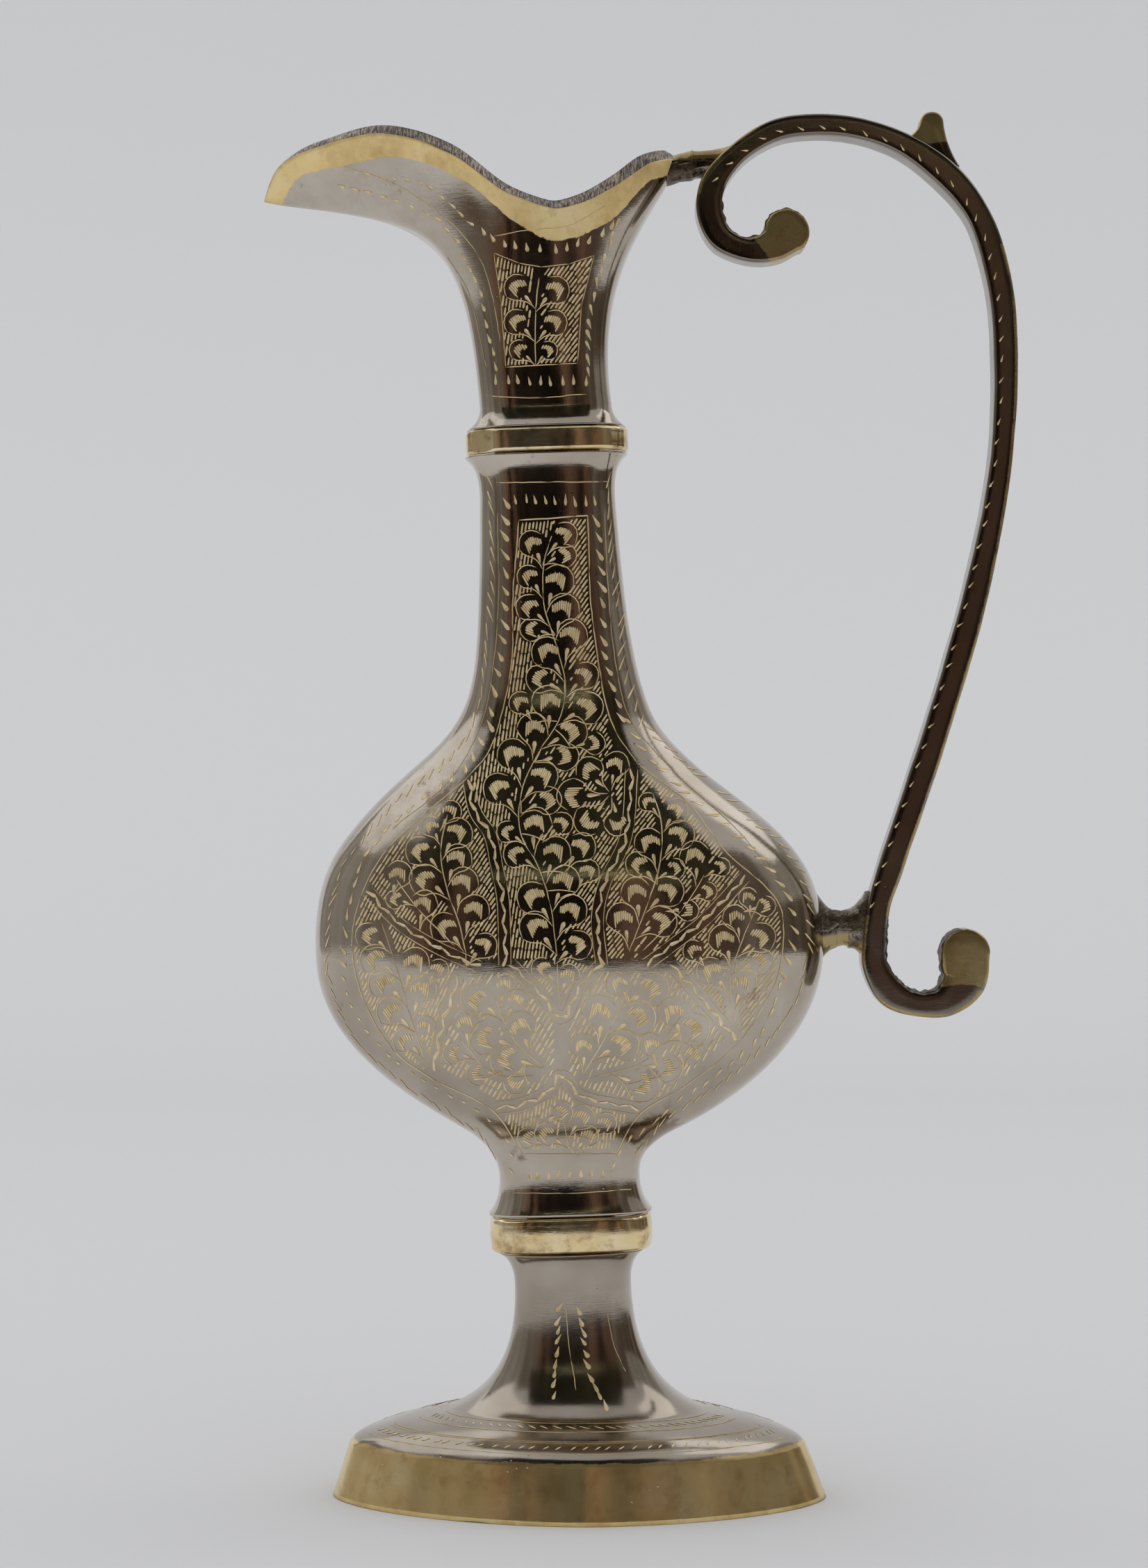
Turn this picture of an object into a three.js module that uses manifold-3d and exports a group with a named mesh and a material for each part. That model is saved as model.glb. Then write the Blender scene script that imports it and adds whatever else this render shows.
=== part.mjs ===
// Flattened brass ewer with a beaked lip, two collars, a lens-shaped foot and a scrolled strap handle.
// Millimetres, +Z up. The beak points to -X, the handle to +X, and the engraved front faces -Y.
import * as THREE from 'three';
import { mergeVertices } from 'three/addons/utils/BufferGeometryUtils.js';
import Module from 'manifold-3d';

// Fits and metal
const seatGap = 0.3;
const wall = 2.2;

// Foot: a skirt, a shallow dome and a hollow stem
const footHeight = 44.7;
const footHalfWidth = 44.6;
const footHalfDepth = 27;
const skirtHeight = 10;
const skirtDraft = 3.5;
const skirtEdge = 0.9;
const domeHeight = 16.1;
const domeHalfWidth = 22.8;
const stemHalfWidth = 10.5;
const stemHalfDepth = 8.6;
const stemWaistHeight = 38.6;

// Collars: rings with nearly flat faces and rounded corners
const collarHalfWidth = 14.7;
const collarHalfDepth = 11;
const lowerCollarHeight = 6.3;
const upperCollarHeight = 4.2;
const collarEdge = 0.7;

// Ferrules and floor: the sleeves inside the collars and the disc that closes the belly
const lowerBoreHalfWidth = 8.2;
const lowerBoreHalfDepth = 6.2;
const upperBoreHalfWidth = 9.8;
const upperBoreHalfDepth = 6.9;
const ferruleWall = 1.3;
const ferruleReach = 5.6;
const floorThickness = 2;

// Body: pear-shaped belly and long neck, heights measured from the body's lower end
const bodyHeight = 136.2;
const lowerWaistHeight = 6.6;
const lowerWaistHalfWidth = 12.65;
const bellyHeight = 47.4;
const bellyHalfWidth = 45.8;
const bellyHalfDepth = 23;
const shoulderHeight = 78.9;
const shoulderHalfWidth = 27;
const neckHalfWidth = 12.2;
const neckHalfDepth = 9.3;
const neckStraight = 5.3;
const flange = 2.4;

// Handmade lean of everything above the foot, in degrees towards the beak, and the sway of the belly's
// middle as rows of (height in the body, shift towards the handle)
const stackLean = 1.98;
const bellySway = [
  [6.6, 0], [10, 0.1], [13, 0.7], [16, 1.75], [21, 2.05], [38, 1.4], [57, 1.05], [68, 0], [78, -1.05],
  [87, -0.25], [94, 0.25], [112, 0], [128, -0.2],
];

// Lip casting: upper neck that opens into the beak, with the lip's lowest point a little towards the handle
const waistRise = 4.2;
const waistTaper = 0.3;
const saddleHeight = 39.8;
const saddleShift = 3;
const beakReach = 51.4;
const beakPeakRise = 14.6;
const beakTipRise = 4.7;
const lipCornerReach = 25.4;
const lipCornerRise = 10.1;
const lipHalfDepth = 12.5;
const lipBevel = 1.6;

// Handle: strap centreline, its widths, its two scrolls and the thumb piece
const handleReach = 83.1;
const handleRise = 3.4;
const strapHalfWidth = 1.95;
const strapDepth = 7;
const strapEdge = 0.6;
const upperScrollX = 38.3;
const upperScrollDrop = 14.9;
const upperScrollRadius = 7.4;
const upperScrollBulb = 4.2;
const lowerScrollX = 64.6;
const lowerScrollDrop = 4.2;
const lowerScrollRadius = 8;
const lowerScrollBulb = 4.4;
const thumbPieceRise = 8.5;
const thumbPieceHalfWidth = 1.8;

// Lugs: the bridges from the lip's corner and from the belly to the strap
const rimLugHeight = 4.9;
const rimLugSink = 0.2;
const rimLugSlope = 2;
const bellyLugHeight = 7;
const bellyLugRise = 2;
const lugDepth = 6.4;
const brazeLength = 2.2;
const brazeSink = 1;
const wallBrazeHeight = 13.6;
const strapBrazeHeight = 9.4;

// Section shapes: 2 is an ellipse, larger is squarer, smaller is more pointed at the sides
const footSquareness = 1.75;
const stemSquareness = 3;
const collarSquareness = 5;
const neckSquareness = 3.2;
const bellySquareness = 2.5;
const lipSquareness = 1.75;

// Fineness of the faceted surfaces
const ringPoints = 40;
const stubPoints = 16;
const curveSteps = 5;
const spoutSteps = 10;
const strapSteps = 72;

const plate = { color: 0x5d554c, metalness: 1, roughness: 0.3 };
const brass = { color: 0xc8a050, metalness: 1, roughness: 0.25 };
const solder = { color: 0x8c8a86, metalness: 1, roughness: 0.5 };

const wasm = await Module();
wasm.setup();

// Stack of the pieces up the axis
const lowerCollarBase = footHeight + seatGap;
const bodyBase = lowerCollarBase + lowerCollarHeight + seatGap;
const bodyTop = bodyBase + bodyHeight;
const upperCollarBase = bodyTop + seatGap;
const spoutBase = upperCollarBase + upperCollarHeight + seatGap;

const { lerp } = THREE.MathUtils;
const vector2 = (x, y) => new THREE.Vector2(x, y);
const leanMatrix = (share) => (
  new THREE.Matrix4().makeRotationY(-share * THREE.MathUtils.degToRad(stackLean))
);

function ovalPoint(angle, halfWidth, halfDepth, squareness) {
  const power = 2 / squareness;
  const c = Math.cos(angle);
  const s = Math.sin(angle);
  return vector2(
    Math.sign(c) * Math.abs(c) ** power * halfWidth,
    Math.sign(s) * Math.abs(s) ** power * halfDepth,
  );
}

// Smooth curve through rows of (place, value), level beyond both ends.
function smoothValue(rows, place) {
  const last = rows.length - 1;
  const x = THREE.MathUtils.clamp(place, rows[0][0], rows[last][0]);
  const at = Math.min(Math.max(rows.findLastIndex((row) => row[0] <= x), 0), last - 1);
  const slope = (k) => {
    const from = rows[Math.max(k - 1, 0)];
    const to = rows[Math.min(k + 1, last)];
    return (to[1] - from[1]) / (to[0] - from[0]);
  };
  const [x0, y0] = rows[at];
  const [x1, y1] = rows[at + 1];
  const span = x1 - x0;
  const t = (x - x0) / span;
  const first = y0 * (1 + 2 * t) * (1 - t) ** 2 + y1 * t * t * (3 - 2 * t);
  return first + span * (slope(at) * t * (1 - t) ** 2 + slope(at + 1) * t * t * (t - 1));
}

// A station is one level of a lofted piece: its height, half sizes, squareness and sideways shift.
function stationRing({ z, halfWidth, halfDepth, squareness, shift = 0 }, points = ringPoints) {
  const ring = [];
  for (let i = 0; i < points; i += 1) {
    const p = ovalPoint((2 * Math.PI * i) / points, halfWidth, halfDepth, squareness);
    ring.push(new THREE.Vector3(p.x + shift, p.y, z));
  }
  return ring;
}

const ringOf = (station) => stationRing(station);

// Closed surface through a loop of rings: up the outside, over the rim and down the inside.
function loftLoop(rings) {
  const positions = rings.flat().flatMap((p) => [p.x, p.y, p.z]);
  const points = rings[0].length;
  const index = [];
  for (let i = 0; i < rings.length; i += 1) {
    const near = i * points;
    const far = ((i + 1) % rings.length) * points;
    for (let j = 0; j < points; j += 1) {
      const k = (j + 1) % points;
      index.push(near + j, near + k, far + k, near + j, far + k, far + j);
    }
  }
  const geometry = new THREE.BufferGeometry();
  geometry.setAttribute('position', new THREE.Float32BufferAttribute(positions, 3));
  geometry.setIndex(index);
  return geometry;
}

// Solid filled inside a stack of rings, used as a cutting tool.
function loftSolid(rings) {
  const geometry = loftLoop(rings);
  const points = rings[0].length;
  const top = (rings.length - 1) * points;
  const index = [...geometry.index.array].slice(0, top * 6);
  for (let j = 1; j < points - 1; j += 1) {
    index.push(0, j + 1, j, top, top + j, top + j + 1);
  }
  geometry.setIndex(index);
  return geometry;
}

function toSolid(geometry) {
  const bare = geometry.clone();
  bare.deleteAttribute('normal');
  bare.deleteAttribute('uv');
  const merged = mergeVertices(bare, 1e-4);
  return new wasm.Manifold(new wasm.Mesh({
    numProp: 3,
    vertProperties: new Float32Array(merged.attributes.position.array),
    triVerts: new Uint32Array(merged.index.array),
  }));
}

function toGeometry(solid) {
  const mesh = solid.getMesh();
  const geometry = new THREE.BufferGeometry();
  geometry.setAttribute('position', new THREE.BufferAttribute(mesh.vertProperties, 3));
  geometry.setIndex(new THREE.BufferAttribute(mesh.triVerts, 1));
  return geometry;
}

// Keeps the half of a piece in front of the seam (side -1) or behind it (side 1).
function seamHalf(geometry, side) {
  geometry.computeBoundingBox();
  const size = geometry.boundingBox.getSize(new THREE.Vector3()).addScalar(1);
  const centre = geometry.boundingBox.getCenter(new THREE.Vector3());
  const box = new THREE.BoxGeometry(size.x, size.y, size.z);
  box.translate(centre.x, side * (size.y + seatGap) / 2, centre.z);
  return toGeometry(toSolid(geometry).intersect(toSolid(box)));
}

// Slope of a profile at one of its points, as a unit vector along the profile.
function slopeAt(points, i) {
  const before = points[Math.max(i - 1, 0)];
  const after = points[Math.min(i + 1, points.length - 1)];
  return after.clone().sub(before).normalize();
}

// Stations up a profile of (half width, height) points, moved inwards by an inset along the profile's normal.
function stations(points, depthOf, squarenessOf, inset) {
  return points.map((p, i) => {
    const slope = slopeAt(points, i);
    return {
      z: p.y + inset * slope.x,
      halfWidth: p.x - inset * slope.y,
      halfDepth: depthOf(p.x) - inset,
      squareness: squarenessOf(p.x),
    };
  });
}

function boreStation(z, halfWidth, halfDepth) {
  return { z, halfWidth, halfDepth, squareness: neckSquareness };
}

// Foot
function footProfile() {
  const path = new THREE.Path();
  path.moveTo(footHalfWidth, 0);
  path.lineTo(footHalfWidth - skirtDraft, skirtHeight);
  path.lineTo(footHalfWidth - skirtDraft - skirtEdge, skirtHeight + skirtEdge);
  const edge = path.currentPoint.clone();
  path.bezierCurveTo(
    edge.x - 2.3, edge.y + 2,
    domeHalfWidth + 6, domeHeight - 1,
    domeHalfWidth, domeHeight,
  );
  path.bezierCurveTo(
    lerp(stemHalfWidth, domeHalfWidth, 0.36), domeHeight + 3.4,
    stemHalfWidth, lerp(domeHeight, stemWaistHeight, 0.44),
    stemHalfWidth, stemWaistHeight,
  );
  path.bezierCurveTo(
    stemHalfWidth, lerp(stemWaistHeight, footHeight, 0.5),
    stemHalfWidth + 0.8, footHeight - 1.1,
    stemHalfWidth + flange + 0.5, footHeight,
  );
  return path.getPoints(curveSteps);
}

const footSpread = (halfWidth) => (halfWidth - stemHalfWidth) / (footHalfWidth - stemHalfWidth);
const footDepth = (halfWidth) => lerp(stemHalfDepth, footHalfDepth, footSpread(halfWidth));
const footShape = (halfWidth) => (
  lerp(stemSquareness, footSquareness, Math.sqrt(Math.max(footSpread(halfWidth), 0)))
);

// The foot's rings follow the leaning axis. They stay level up to the dome and tilt along the stem.
function leanRing(ring, z) {
  const tilt = leanMatrix(THREE.MathUtils.smoothstep(z, domeHeight, stemWaistHeight));
  const centre = new THREE.Vector3(0, 0, z).applyMatrix4(leanMatrix(1));
  return ring.map((p) => new THREE.Vector3(p.x, p.y, 0).applyMatrix4(tilt).add(centre));
}

function makeFoot() {
  const profile = footProfile();
  const outer = stations(profile, footDepth, footShape, 0);
  const boreBottom = footHeight - ferruleReach - seatGap;
  const inner = stations(profile, footDepth, footShape, wall)
    .filter((s) => s.z < boreBottom - 1 && s.halfWidth > lowerBoreHalfWidth);
  inner[0].z = 0;
  inner.push(boreStation(boreBottom, lowerBoreHalfWidth, lowerBoreHalfDepth));
  inner.push(boreStation(footHeight, lowerBoreHalfWidth, lowerBoreHalfDepth));
  return loftLoop([...outer, ...inner.reverse()].map((s) => leanRing(ringOf(s), s.z)));
}

// Collars and ferrules
function makeSleeve(base, top, outerWidth, outerDepth, innerWidth, innerDepth, edge, squareness) {
  const outer = [
    { z: base, halfWidth: outerWidth - edge, halfDepth: outerDepth - edge, squareness },
    { z: base + edge, halfWidth: outerWidth, halfDepth: outerDepth, squareness },
    { z: top - edge, halfWidth: outerWidth, halfDepth: outerDepth, squareness },
    { z: top, halfWidth: outerWidth - edge, halfDepth: outerDepth - edge, squareness },
  ];
  const inner = [boreStation(top, innerWidth, innerDepth), boreStation(base, innerWidth, innerDepth)];
  return loftLoop([...outer, ...inner].map(ringOf));
}

function makeCollar(base, height, boreWidth, boreDepth) {
  return makeSleeve(
    base, base + height, collarHalfWidth, collarHalfDepth, boreWidth, boreDepth, collarEdge, collarSquareness,
  );
}

function makeFerrule(base, top, boreWidth, boreDepth) {
  const width = boreWidth - seatGap;
  const depth = boreDepth - seatGap;
  return makeSleeve(
    base, top, width, depth, width - ferruleWall, depth - ferruleWall, seatGap, neckSquareness,
  );
}

// Body
const bodySwell = (halfWidth) => (halfWidth - neckHalfWidth) / (bellyHalfWidth - neckHalfWidth);
const bodyDepth = (halfWidth) => lerp(neckHalfDepth, bellyHalfDepth, bodySwell(halfWidth));
const bodyShape = (halfWidth) => (
  lerp(neckSquareness, bellySquareness, Math.sqrt(Math.max(bodySwell(halfWidth), 0)))
);

function bodyProfile() {
  const path = new THREE.Path();
  const turn = vector2(
    lerp(lowerWaistHalfWidth, bellyHalfWidth, 0.234),
    lerp(lowerWaistHeight, bellyHeight, 0.22),
  );
  path.moveTo(lowerWaistHalfWidth + flange - 0.4, 0);
  path.bezierCurveTo(
    lowerWaistHalfWidth + 0.3, lowerWaistHeight * 0.35,
    lowerWaistHalfWidth, lowerWaistHeight * 0.65,
    lowerWaistHalfWidth, lowerWaistHeight,
  );
  path.bezierCurveTo(
    lowerWaistHalfWidth, lerp(lowerWaistHeight, turn.y, 0.48),
    lerp(lowerWaistHalfWidth, turn.x, 0.46), lerp(lowerWaistHeight, turn.y, 0.76),
    turn.x, turn.y,
  );
  path.bezierCurveTo(
    lerp(turn.x, bellyHalfWidth, 0.5), lerp(turn.y, bellyHeight, 0.22),
    bellyHalfWidth, lerp(turn.y, bellyHeight, 0.53),
    bellyHalfWidth, bellyHeight,
  );
  path.bezierCurveTo(
    bellyHalfWidth, lerp(bellyHeight, shoulderHeight, 0.48),
    lerp(shoulderHalfWidth, bellyHalfWidth, 0.72), lerp(bellyHeight, shoulderHeight, 0.635),
    shoulderHalfWidth, shoulderHeight,
  );
  const neckEnd = bodyHeight - neckStraight;
  path.bezierCurveTo(
    neckHalfWidth + 3.7, lerp(shoulderHeight, neckEnd, 0.192),
    neckHalfWidth + 1.6, lerp(shoulderHeight, neckEnd, 0.196),
    neckHalfWidth, neckEnd - 2,
  );
  path.bezierCurveTo(
    neckHalfWidth, bodyHeight - neckStraight * 0.5,
    neckHalfWidth + 1, bodyHeight - neckStraight * 0.22,
    neckHalfWidth + flange, bodyHeight,
  );
  return path.getPoints(curveSteps);
}

const floorTop = bodyBase + ferruleReach + seatGap + floorThickness;

function bodyStations(inset) {
  const profile = bodyProfile().map((p) => vector2(p.x, p.y + bodyBase));
  return stations(profile, bodyDepth, bodyShape, inset)
    .map((s) => ({ ...s, shift: smoothValue(bellySway, s.z - bodyBase) }));
}

function makeBody() {
  const outer = bodyStations(0);
  const lowerBoreTop = floorTop + seatGap;
  const upperBoreBottom = bodyTop - ferruleReach - seatGap;
  const inner = bodyStations(wall)
    .filter((s) => s.z > lowerBoreTop + 1 && s.z < upperBoreBottom - 1);
  inner.unshift(boreStation(lowerBoreTop, lowerBoreHalfWidth, lowerBoreHalfDepth));
  inner.unshift(boreStation(bodyBase, lowerBoreHalfWidth, lowerBoreHalfDepth));
  inner.push(boreStation(upperBoreBottom, upperBoreHalfWidth, upperBoreHalfDepth));
  inner.push(boreStation(bodyTop, upperBoreHalfWidth, upperBoreHalfDepth));
  return loftLoop([...outer, ...inner.reverse()].map(ringOf));
}

function makeBodyTool(clearance) {
  return loftSolid(bodyStations(-clearance).map(ringOf));
}

function makeFloor() {
  const shape = new THREE.Shape(
    stationRing(boreStation(0, lowerBoreHalfWidth - seatGap, lowerBoreHalfDepth - seatGap))
      .map((p) => vector2(p.x, p.y)),
  );
  const disc = new THREE.ExtrudeGeometry(shape, { depth: floorThickness, bevelEnabled: false });
  return disc.translate(0, 0, floorTop - floorThickness);
}

// Lip casting. The lip's line is given as (share of the reach, share of the rise) on each side of the saddle.
const beakLine = [[0, 0], [0.15, 0.235], [0.34, 0.74], [0.57, 1.01], [0.77, 0.9], [0.91, 0.71]];
const cornerLine = [[0, 0], [0.23, 0.18], [0.49, 0.48], [0.71, 0.8], [0.85, 0.92], [1, 1]];

function lipHeight(x) {
  const base = spoutBase + saddleHeight;
  if (x > saddleShift) {
    const share = (x - saddleShift) / (lipCornerReach - saddleShift);
    return base + lipCornerRise * smoothValue(cornerLine, share);
  }
  const share = (saddleShift - x) / (beakReach + saddleShift);
  return base + beakPeakRise * smoothValue([...beakLine, [1, beakTipRise / beakPeakRise]], share);
}

// Control points of the casting's wall from its waist to the lip: under the beak, below the corner, in front.
const waistHeight = spoutBase + waistRise;
const waistHalfWidth = neckHalfWidth - waistTaper;
const waistHalfDepth = neckHalfDepth - waistTaper;
const saddleLevel = spoutBase + saddleHeight;

const beakSide = [
  { x: waistHalfWidth, z: waistHeight, inX: 1, inZ: 0 },
  { x: waistHalfWidth + 1.8, z: saddleLevel + 0.6, inX: 1, inZ: 0.3 },
  { x: beakReach * 0.424, z: saddleLevel - 1.9, inX: 0.3, inZ: 1 },
  { x: beakReach, inX: 1 },
];
const cornerSide = [
  { x: waistHalfWidth, z: waistHeight, inX: 1, inZ: 0 },
  { x: waistHalfWidth - 2.9, z: saddleLevel - 9, inX: 1, inZ: 0 },
  { x: lipCornerReach - 2.1, z: saddleLevel + 0.7, inX: 1, inZ: 0 },
  { x: lipCornerReach, inX: 1 },
];
const middleZ = [waistHeight, waistHeight + 12, saddleLevel - 11];
const wallDepth = [waistHalfDepth, waistHalfDepth - 0.6, lipHalfDepth - 2, lipHalfDepth];

function spoutPoint(angle, t, inset) {
  const unit = ovalPoint(angle, 1, 1, lerp(neckSquareness, lipSquareness, t));
  const side = unit.x < 0 ? beakSide : cornerSide;
  const across = Math.abs(unit.x);
  const weights = [(1 - t) ** 3, 3 * t * (1 - t) ** 2, 3 * t * t * (1 - t), t ** 3];
  const point = new THREE.Vector3();
  weights.forEach((weight, k) => {
    const control = side[k];
    const x = unit.x * (control.x - inset * control.inX);
    const z = k < 3
      ? lerp(middleZ[k], control.z + inset * control.inZ, across ** 2)
      : lipHeight(unit.x * control.x) - (inset > 0 ? 0 : lipBevel);
    point.add(new THREE.Vector3(x, unit.y * (wallDepth[k] - inset), z).multiplyScalar(weight));
  });
  return point;
}

function spoutRing(t, inset) {
  const ring = [];
  for (let i = 0; i < ringPoints; i += 1) {
    ring.push(spoutPoint((2 * Math.PI * i) / ringPoints, t, inset));
  }
  return ring;
}

function makeSpout() {
  const cove = new THREE.CubicBezierCurve(
    vector2(waistHalfWidth + flange, spoutBase),
    vector2(waistHalfWidth + 1.2, spoutBase + 1),
    vector2(waistHalfWidth, spoutBase + 2.2),
    vector2(waistHalfWidth, waistHeight),
  ).getPoints(4).slice(0, -1);
  const coveDepth = (halfWidth) => waistHalfDepth + (halfWidth - waistHalfWidth) * 0.6;
  const rings = stations(cove, coveDepth, () => neckSquareness, 0).map(ringOf);
  for (let i = 0; i <= spoutSteps; i += 1) {
    rings.push(spoutRing(i / spoutSteps, 0));
  }
  const boreTop = spoutBase + ferruleReach + seatGap;
  for (let i = spoutSteps; i > 1; i -= 1) {
    rings.push(spoutRing(i / spoutSteps, wall));
  }
  rings.push(stationRing(boreStation(boreTop, upperBoreHalfWidth, upperBoreHalfDepth)));
  rings.push(stationRing(boreStation(spoutBase, upperBoreHalfWidth, upperBoreHalfDepth)));
  return loftLoop(rings);
}

// Filled copy of the lip casting, carried straight up above the lip, for cutting what is brazed to it.
function makeSpoutTool(clearance) {
  const rings = [];
  for (let i = 0; i <= spoutSteps; i += 1) {
    rings.push(spoutRing(i / spoutSteps, -clearance));
  }
  const above = saddleLevel + 2 * beakPeakRise;
  rings.push(rings[spoutSteps].map((p) => new THREE.Vector3(p.x, p.y, above)));
  return toSolid(loftSolid(rings));
}

// Handle: its top stands above the lip's corner and its lower scroll hangs below the belly's widest level.
// The bow's rows are (share of its reach, share of its height between the scrolls, added half width).
const handleTop = saddleLevel + lipCornerRise + handleRise;
const bellyLevel = bodyBase + bellyHeight;
const lowerScrollHeight = bellyLevel - lowerScrollDrop;
const upperScrollHeight = handleTop - upperScrollDrop;
const bowLeft = upperScrollX - upperScrollRadius;
const bowLine = [
  [0.019, 0.936, 0], [0.105, 0.971, 0], [0.232, 0.995, 0], [0.366, 1, 0], [0.5, 0.995, 0],
  [0.653, 0.9765, 0.1], [0.8, 0.9405, 0.5], [0.917, 0.888, 0.3], [0.984, 0.809, 0.35], [1, 0.729, 0.3],
  [0.971, 0.59, 0.1], [0.868, 0.4315, 0.35], [0.72, 0.273, 0.4], [0.55, 0.114, 0.35], [0.504, 0.0675, 0.2],
];

function strapCurve(extra) {
  const points = [];
  const add = (x, z, halfWidth) => points.push(new THREE.Vector3(x, z, halfWidth + extra));
  const polar = (x, z, radius, degrees, halfWidth, share = 1) => {
    const angle = THREE.MathUtils.degToRad(degrees);
    add(x + share * radius * Math.cos(angle), z + share * radius * Math.sin(angle), halfWidth);
  };
  const upper = [upperScrollX, upperScrollHeight, upperScrollRadius];
  polar(...upper, -36, upperScrollBulb);
  polar(...upper, -62, upperScrollBulb * 0.72);
  polar(...upper, -95, strapHalfWidth + 0.2);
  polar(...upper, -140, strapHalfWidth + 0.1);
  polar(...upper, -180, strapHalfWidth + 0.1);
  bowLine.forEach(([share, level, added]) => {
    add(lerp(bowLeft, handleReach, share), lerp(lowerScrollHeight, handleTop, level), strapHalfWidth + added);
  });
  const lower = [lowerScrollX, lowerScrollHeight, lowerScrollRadius];
  polar(...lower, 158, strapHalfWidth + 0.3, 1.14);
  polar(...lower, 185, strapHalfWidth + 0.4, 1.06);
  polar(...lower, 225, strapHalfWidth + 0.7);
  polar(...lower, 265, strapHalfWidth + 0.2);
  polar(...lower, 298, strapHalfWidth + 0.8, 1.06);
  polar(...lower, 332, lowerScrollBulb * 0.88, 1.06);
  polar(...lower, 368, lowerScrollBulb);
  return new THREE.CatmullRomCurve3(points, false, 'centripetal');
}

// Outline of a strap: both edges of a curve whose third coordinate is the half width, with round ends.
function strapShape(curve, steps) {
  const left = [];
  const right = [];
  const samples = curve.getSpacedPoints(steps);
  samples.forEach((p, i) => {
    const before = samples[Math.max(i - 1, 0)];
    const after = samples[Math.min(i + 1, steps)];
    const along = vector2(after.x - before.x, after.y - before.y).normalize();
    left.push(vector2(p.x - along.y * p.z, p.y + along.x * p.z));
    right.push(vector2(p.x + along.y * p.z, p.y - along.x * p.z));
  });
  const cap = (from, centre, turn) => {
    const arm = from.clone().sub(vector2(centre.x, centre.y));
    const points = [];
    for (let i = 1; i < 6; i += 1) {
      const a = (turn * Math.PI * i) / 6;
      points.push(arm.clone().rotateAround(vector2(0, 0), a).add(vector2(centre.x, centre.y)));
    }
    return points;
  };
  const end = cap(left[steps], samples[steps], -1);
  const start = cap(right[0], samples[0], -1);
  return new THREE.Shape([...left, ...end, ...right.reverse(), ...start]);
}

// Extrudes an outline drawn in X and Z to a depth centred on the seam plane, with bevelled edges.
function extrudeAcross(shape, depth, edge) {
  const geometry = new THREE.ExtrudeGeometry(shape, {
    depth: depth - 2 * edge,
    bevelEnabled: edge > 0,
    bevelThickness: edge,
    bevelSize: edge,
    bevelOffset: -edge,
    bevelSegments: 1,
    curveSegments: 8,
  });
  geometry.translate(0, 0, -(depth - 2 * edge) / 2);
  return geometry.rotateX(Math.PI / 2);
}

// The thumb piece stands on the bow's shoulder, just before the strap turns down.
function thumbPieceShape() {
  const x = lerp(bowLeft, handleReach, 0.77);
  const base = lerp(lowerScrollHeight, handleTop, 0.955);
  const top = base + thumbPieceRise;
  const half = thumbPieceHalfWidth;
  const shape = new THREE.Shape();
  shape.moveTo(x - half - 2.6, base + 2.6);
  shape.quadraticCurveTo(x - half - 0.3, lerp(base, top, 0.5), x - half, top - 1.2);
  shape.quadraticCurveTo(x - half + 0.2, top, x - 0.2, top);
  shape.quadraticCurveTo(x + half - 0.1, top, x + half, top - 1.4);
  shape.quadraticCurveTo(x + half + 0.2, lerp(base, top, 0.5), x + half + 0.9, base + 1);
  shape.lineTo(x + half, base - 2);
  shape.closePath();
  return shape;
}

function makeHandle() {
  const strap = toSolid(extrudeAcross(strapShape(strapCurve(0), strapSteps), strapDepth, strapEdge));
  const thumb = toSolid(extrudeAcross(thumbPieceShape(), strapDepth - 2 * strapEdge, 0));
  return toGeometry(strap.add(thumb));
}

function makeStrapTool() {
  const shape = strapShape(strapCurve(seatGap), strapSteps);
  return toSolid(extrudeAcross(shape, 2 * strapDepth, 0));
}

// X of the strap's centreline where it first passes a height, on its left side or on its way down.
function strapXAt(height, fromShare, toShare) {
  const curve = strapCurve(0);
  let best = curve.getPoint(fromShare);
  for (let i = 0; i <= 200; i += 1) {
    const p = curve.getPoint(lerp(fromShare, toShare, i / 200));
    if (Math.abs(p.y - height) < Math.abs(best.y - height)) {
      best = p;
    }
  }
  return best.x;
}

// Bridge along X through rounded sections, each with its X, height, depth and the level of its middle.
function makeStub(sections) {
  const rings = sections.map(({ x, height, depth, level }) => {
    const oval = { z: 0, halfWidth: height / 2, halfDepth: depth / 2, squareness: neckSquareness };
    return stationRing(oval, stubPoints).map((p) => new THREE.Vector3(x, p.y, level + p.x));
  });
  rings.sort((a, b) => b[0].x - a[0].x);
  return toSolid(loftSolid(rings));
}

// Braze that spreads from a lug's end to the wall it wets, and a little way into that wall.
function makeFillet(lugX, wallX, wallHeight, wallDepth) {
  const section = (share) => ({
    x: lerp(lugX, wallX, share),
    height: lerp(bellyLugHeight, wallHeight, share ** 2),
    depth: lerp(lugDepth, wallDepth, share ** 2),
    level: bellyLugLevel,
  });
  const buried = { ...section(1), x: wallX + Math.sign(wallX - lugX) * brazeSink };
  return makeStub([...[0, 0.4, 0.7, 1].map((share) => section(share)), buried]);
}

// Rim lug: from the lip's corner to the top scroll
const rimLugLevel = saddleLevel + lipCornerRise - rimLugSink - rimLugHeight / 2;
const rimBrazeEnd = lipCornerReach + brazeLength;

function makeRimBraze() {
  const narrow = { x: rimBrazeEnd, height: rimLugHeight, depth: lugDepth, level: rimLugLevel };
  const spread = { ...narrow, x: rimBrazeEnd - 3 * brazeLength, level: rimLugLevel - rimLugSlope };
  return toGeometry(makeStub([narrow, spread]).subtract(makeSpoutTool(seatGap)));
}

function makeRimLug() {
  const start = { x: rimBrazeEnd + seatGap, height: rimLugHeight, depth: lugDepth, level: rimLugLevel };
  const end = { ...start, x: strapXAt(rimLugLevel, 0.1, 0.35) };
  return toGeometry(makeStub([start, end]).subtract(makeStrapTool()));
}

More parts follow.
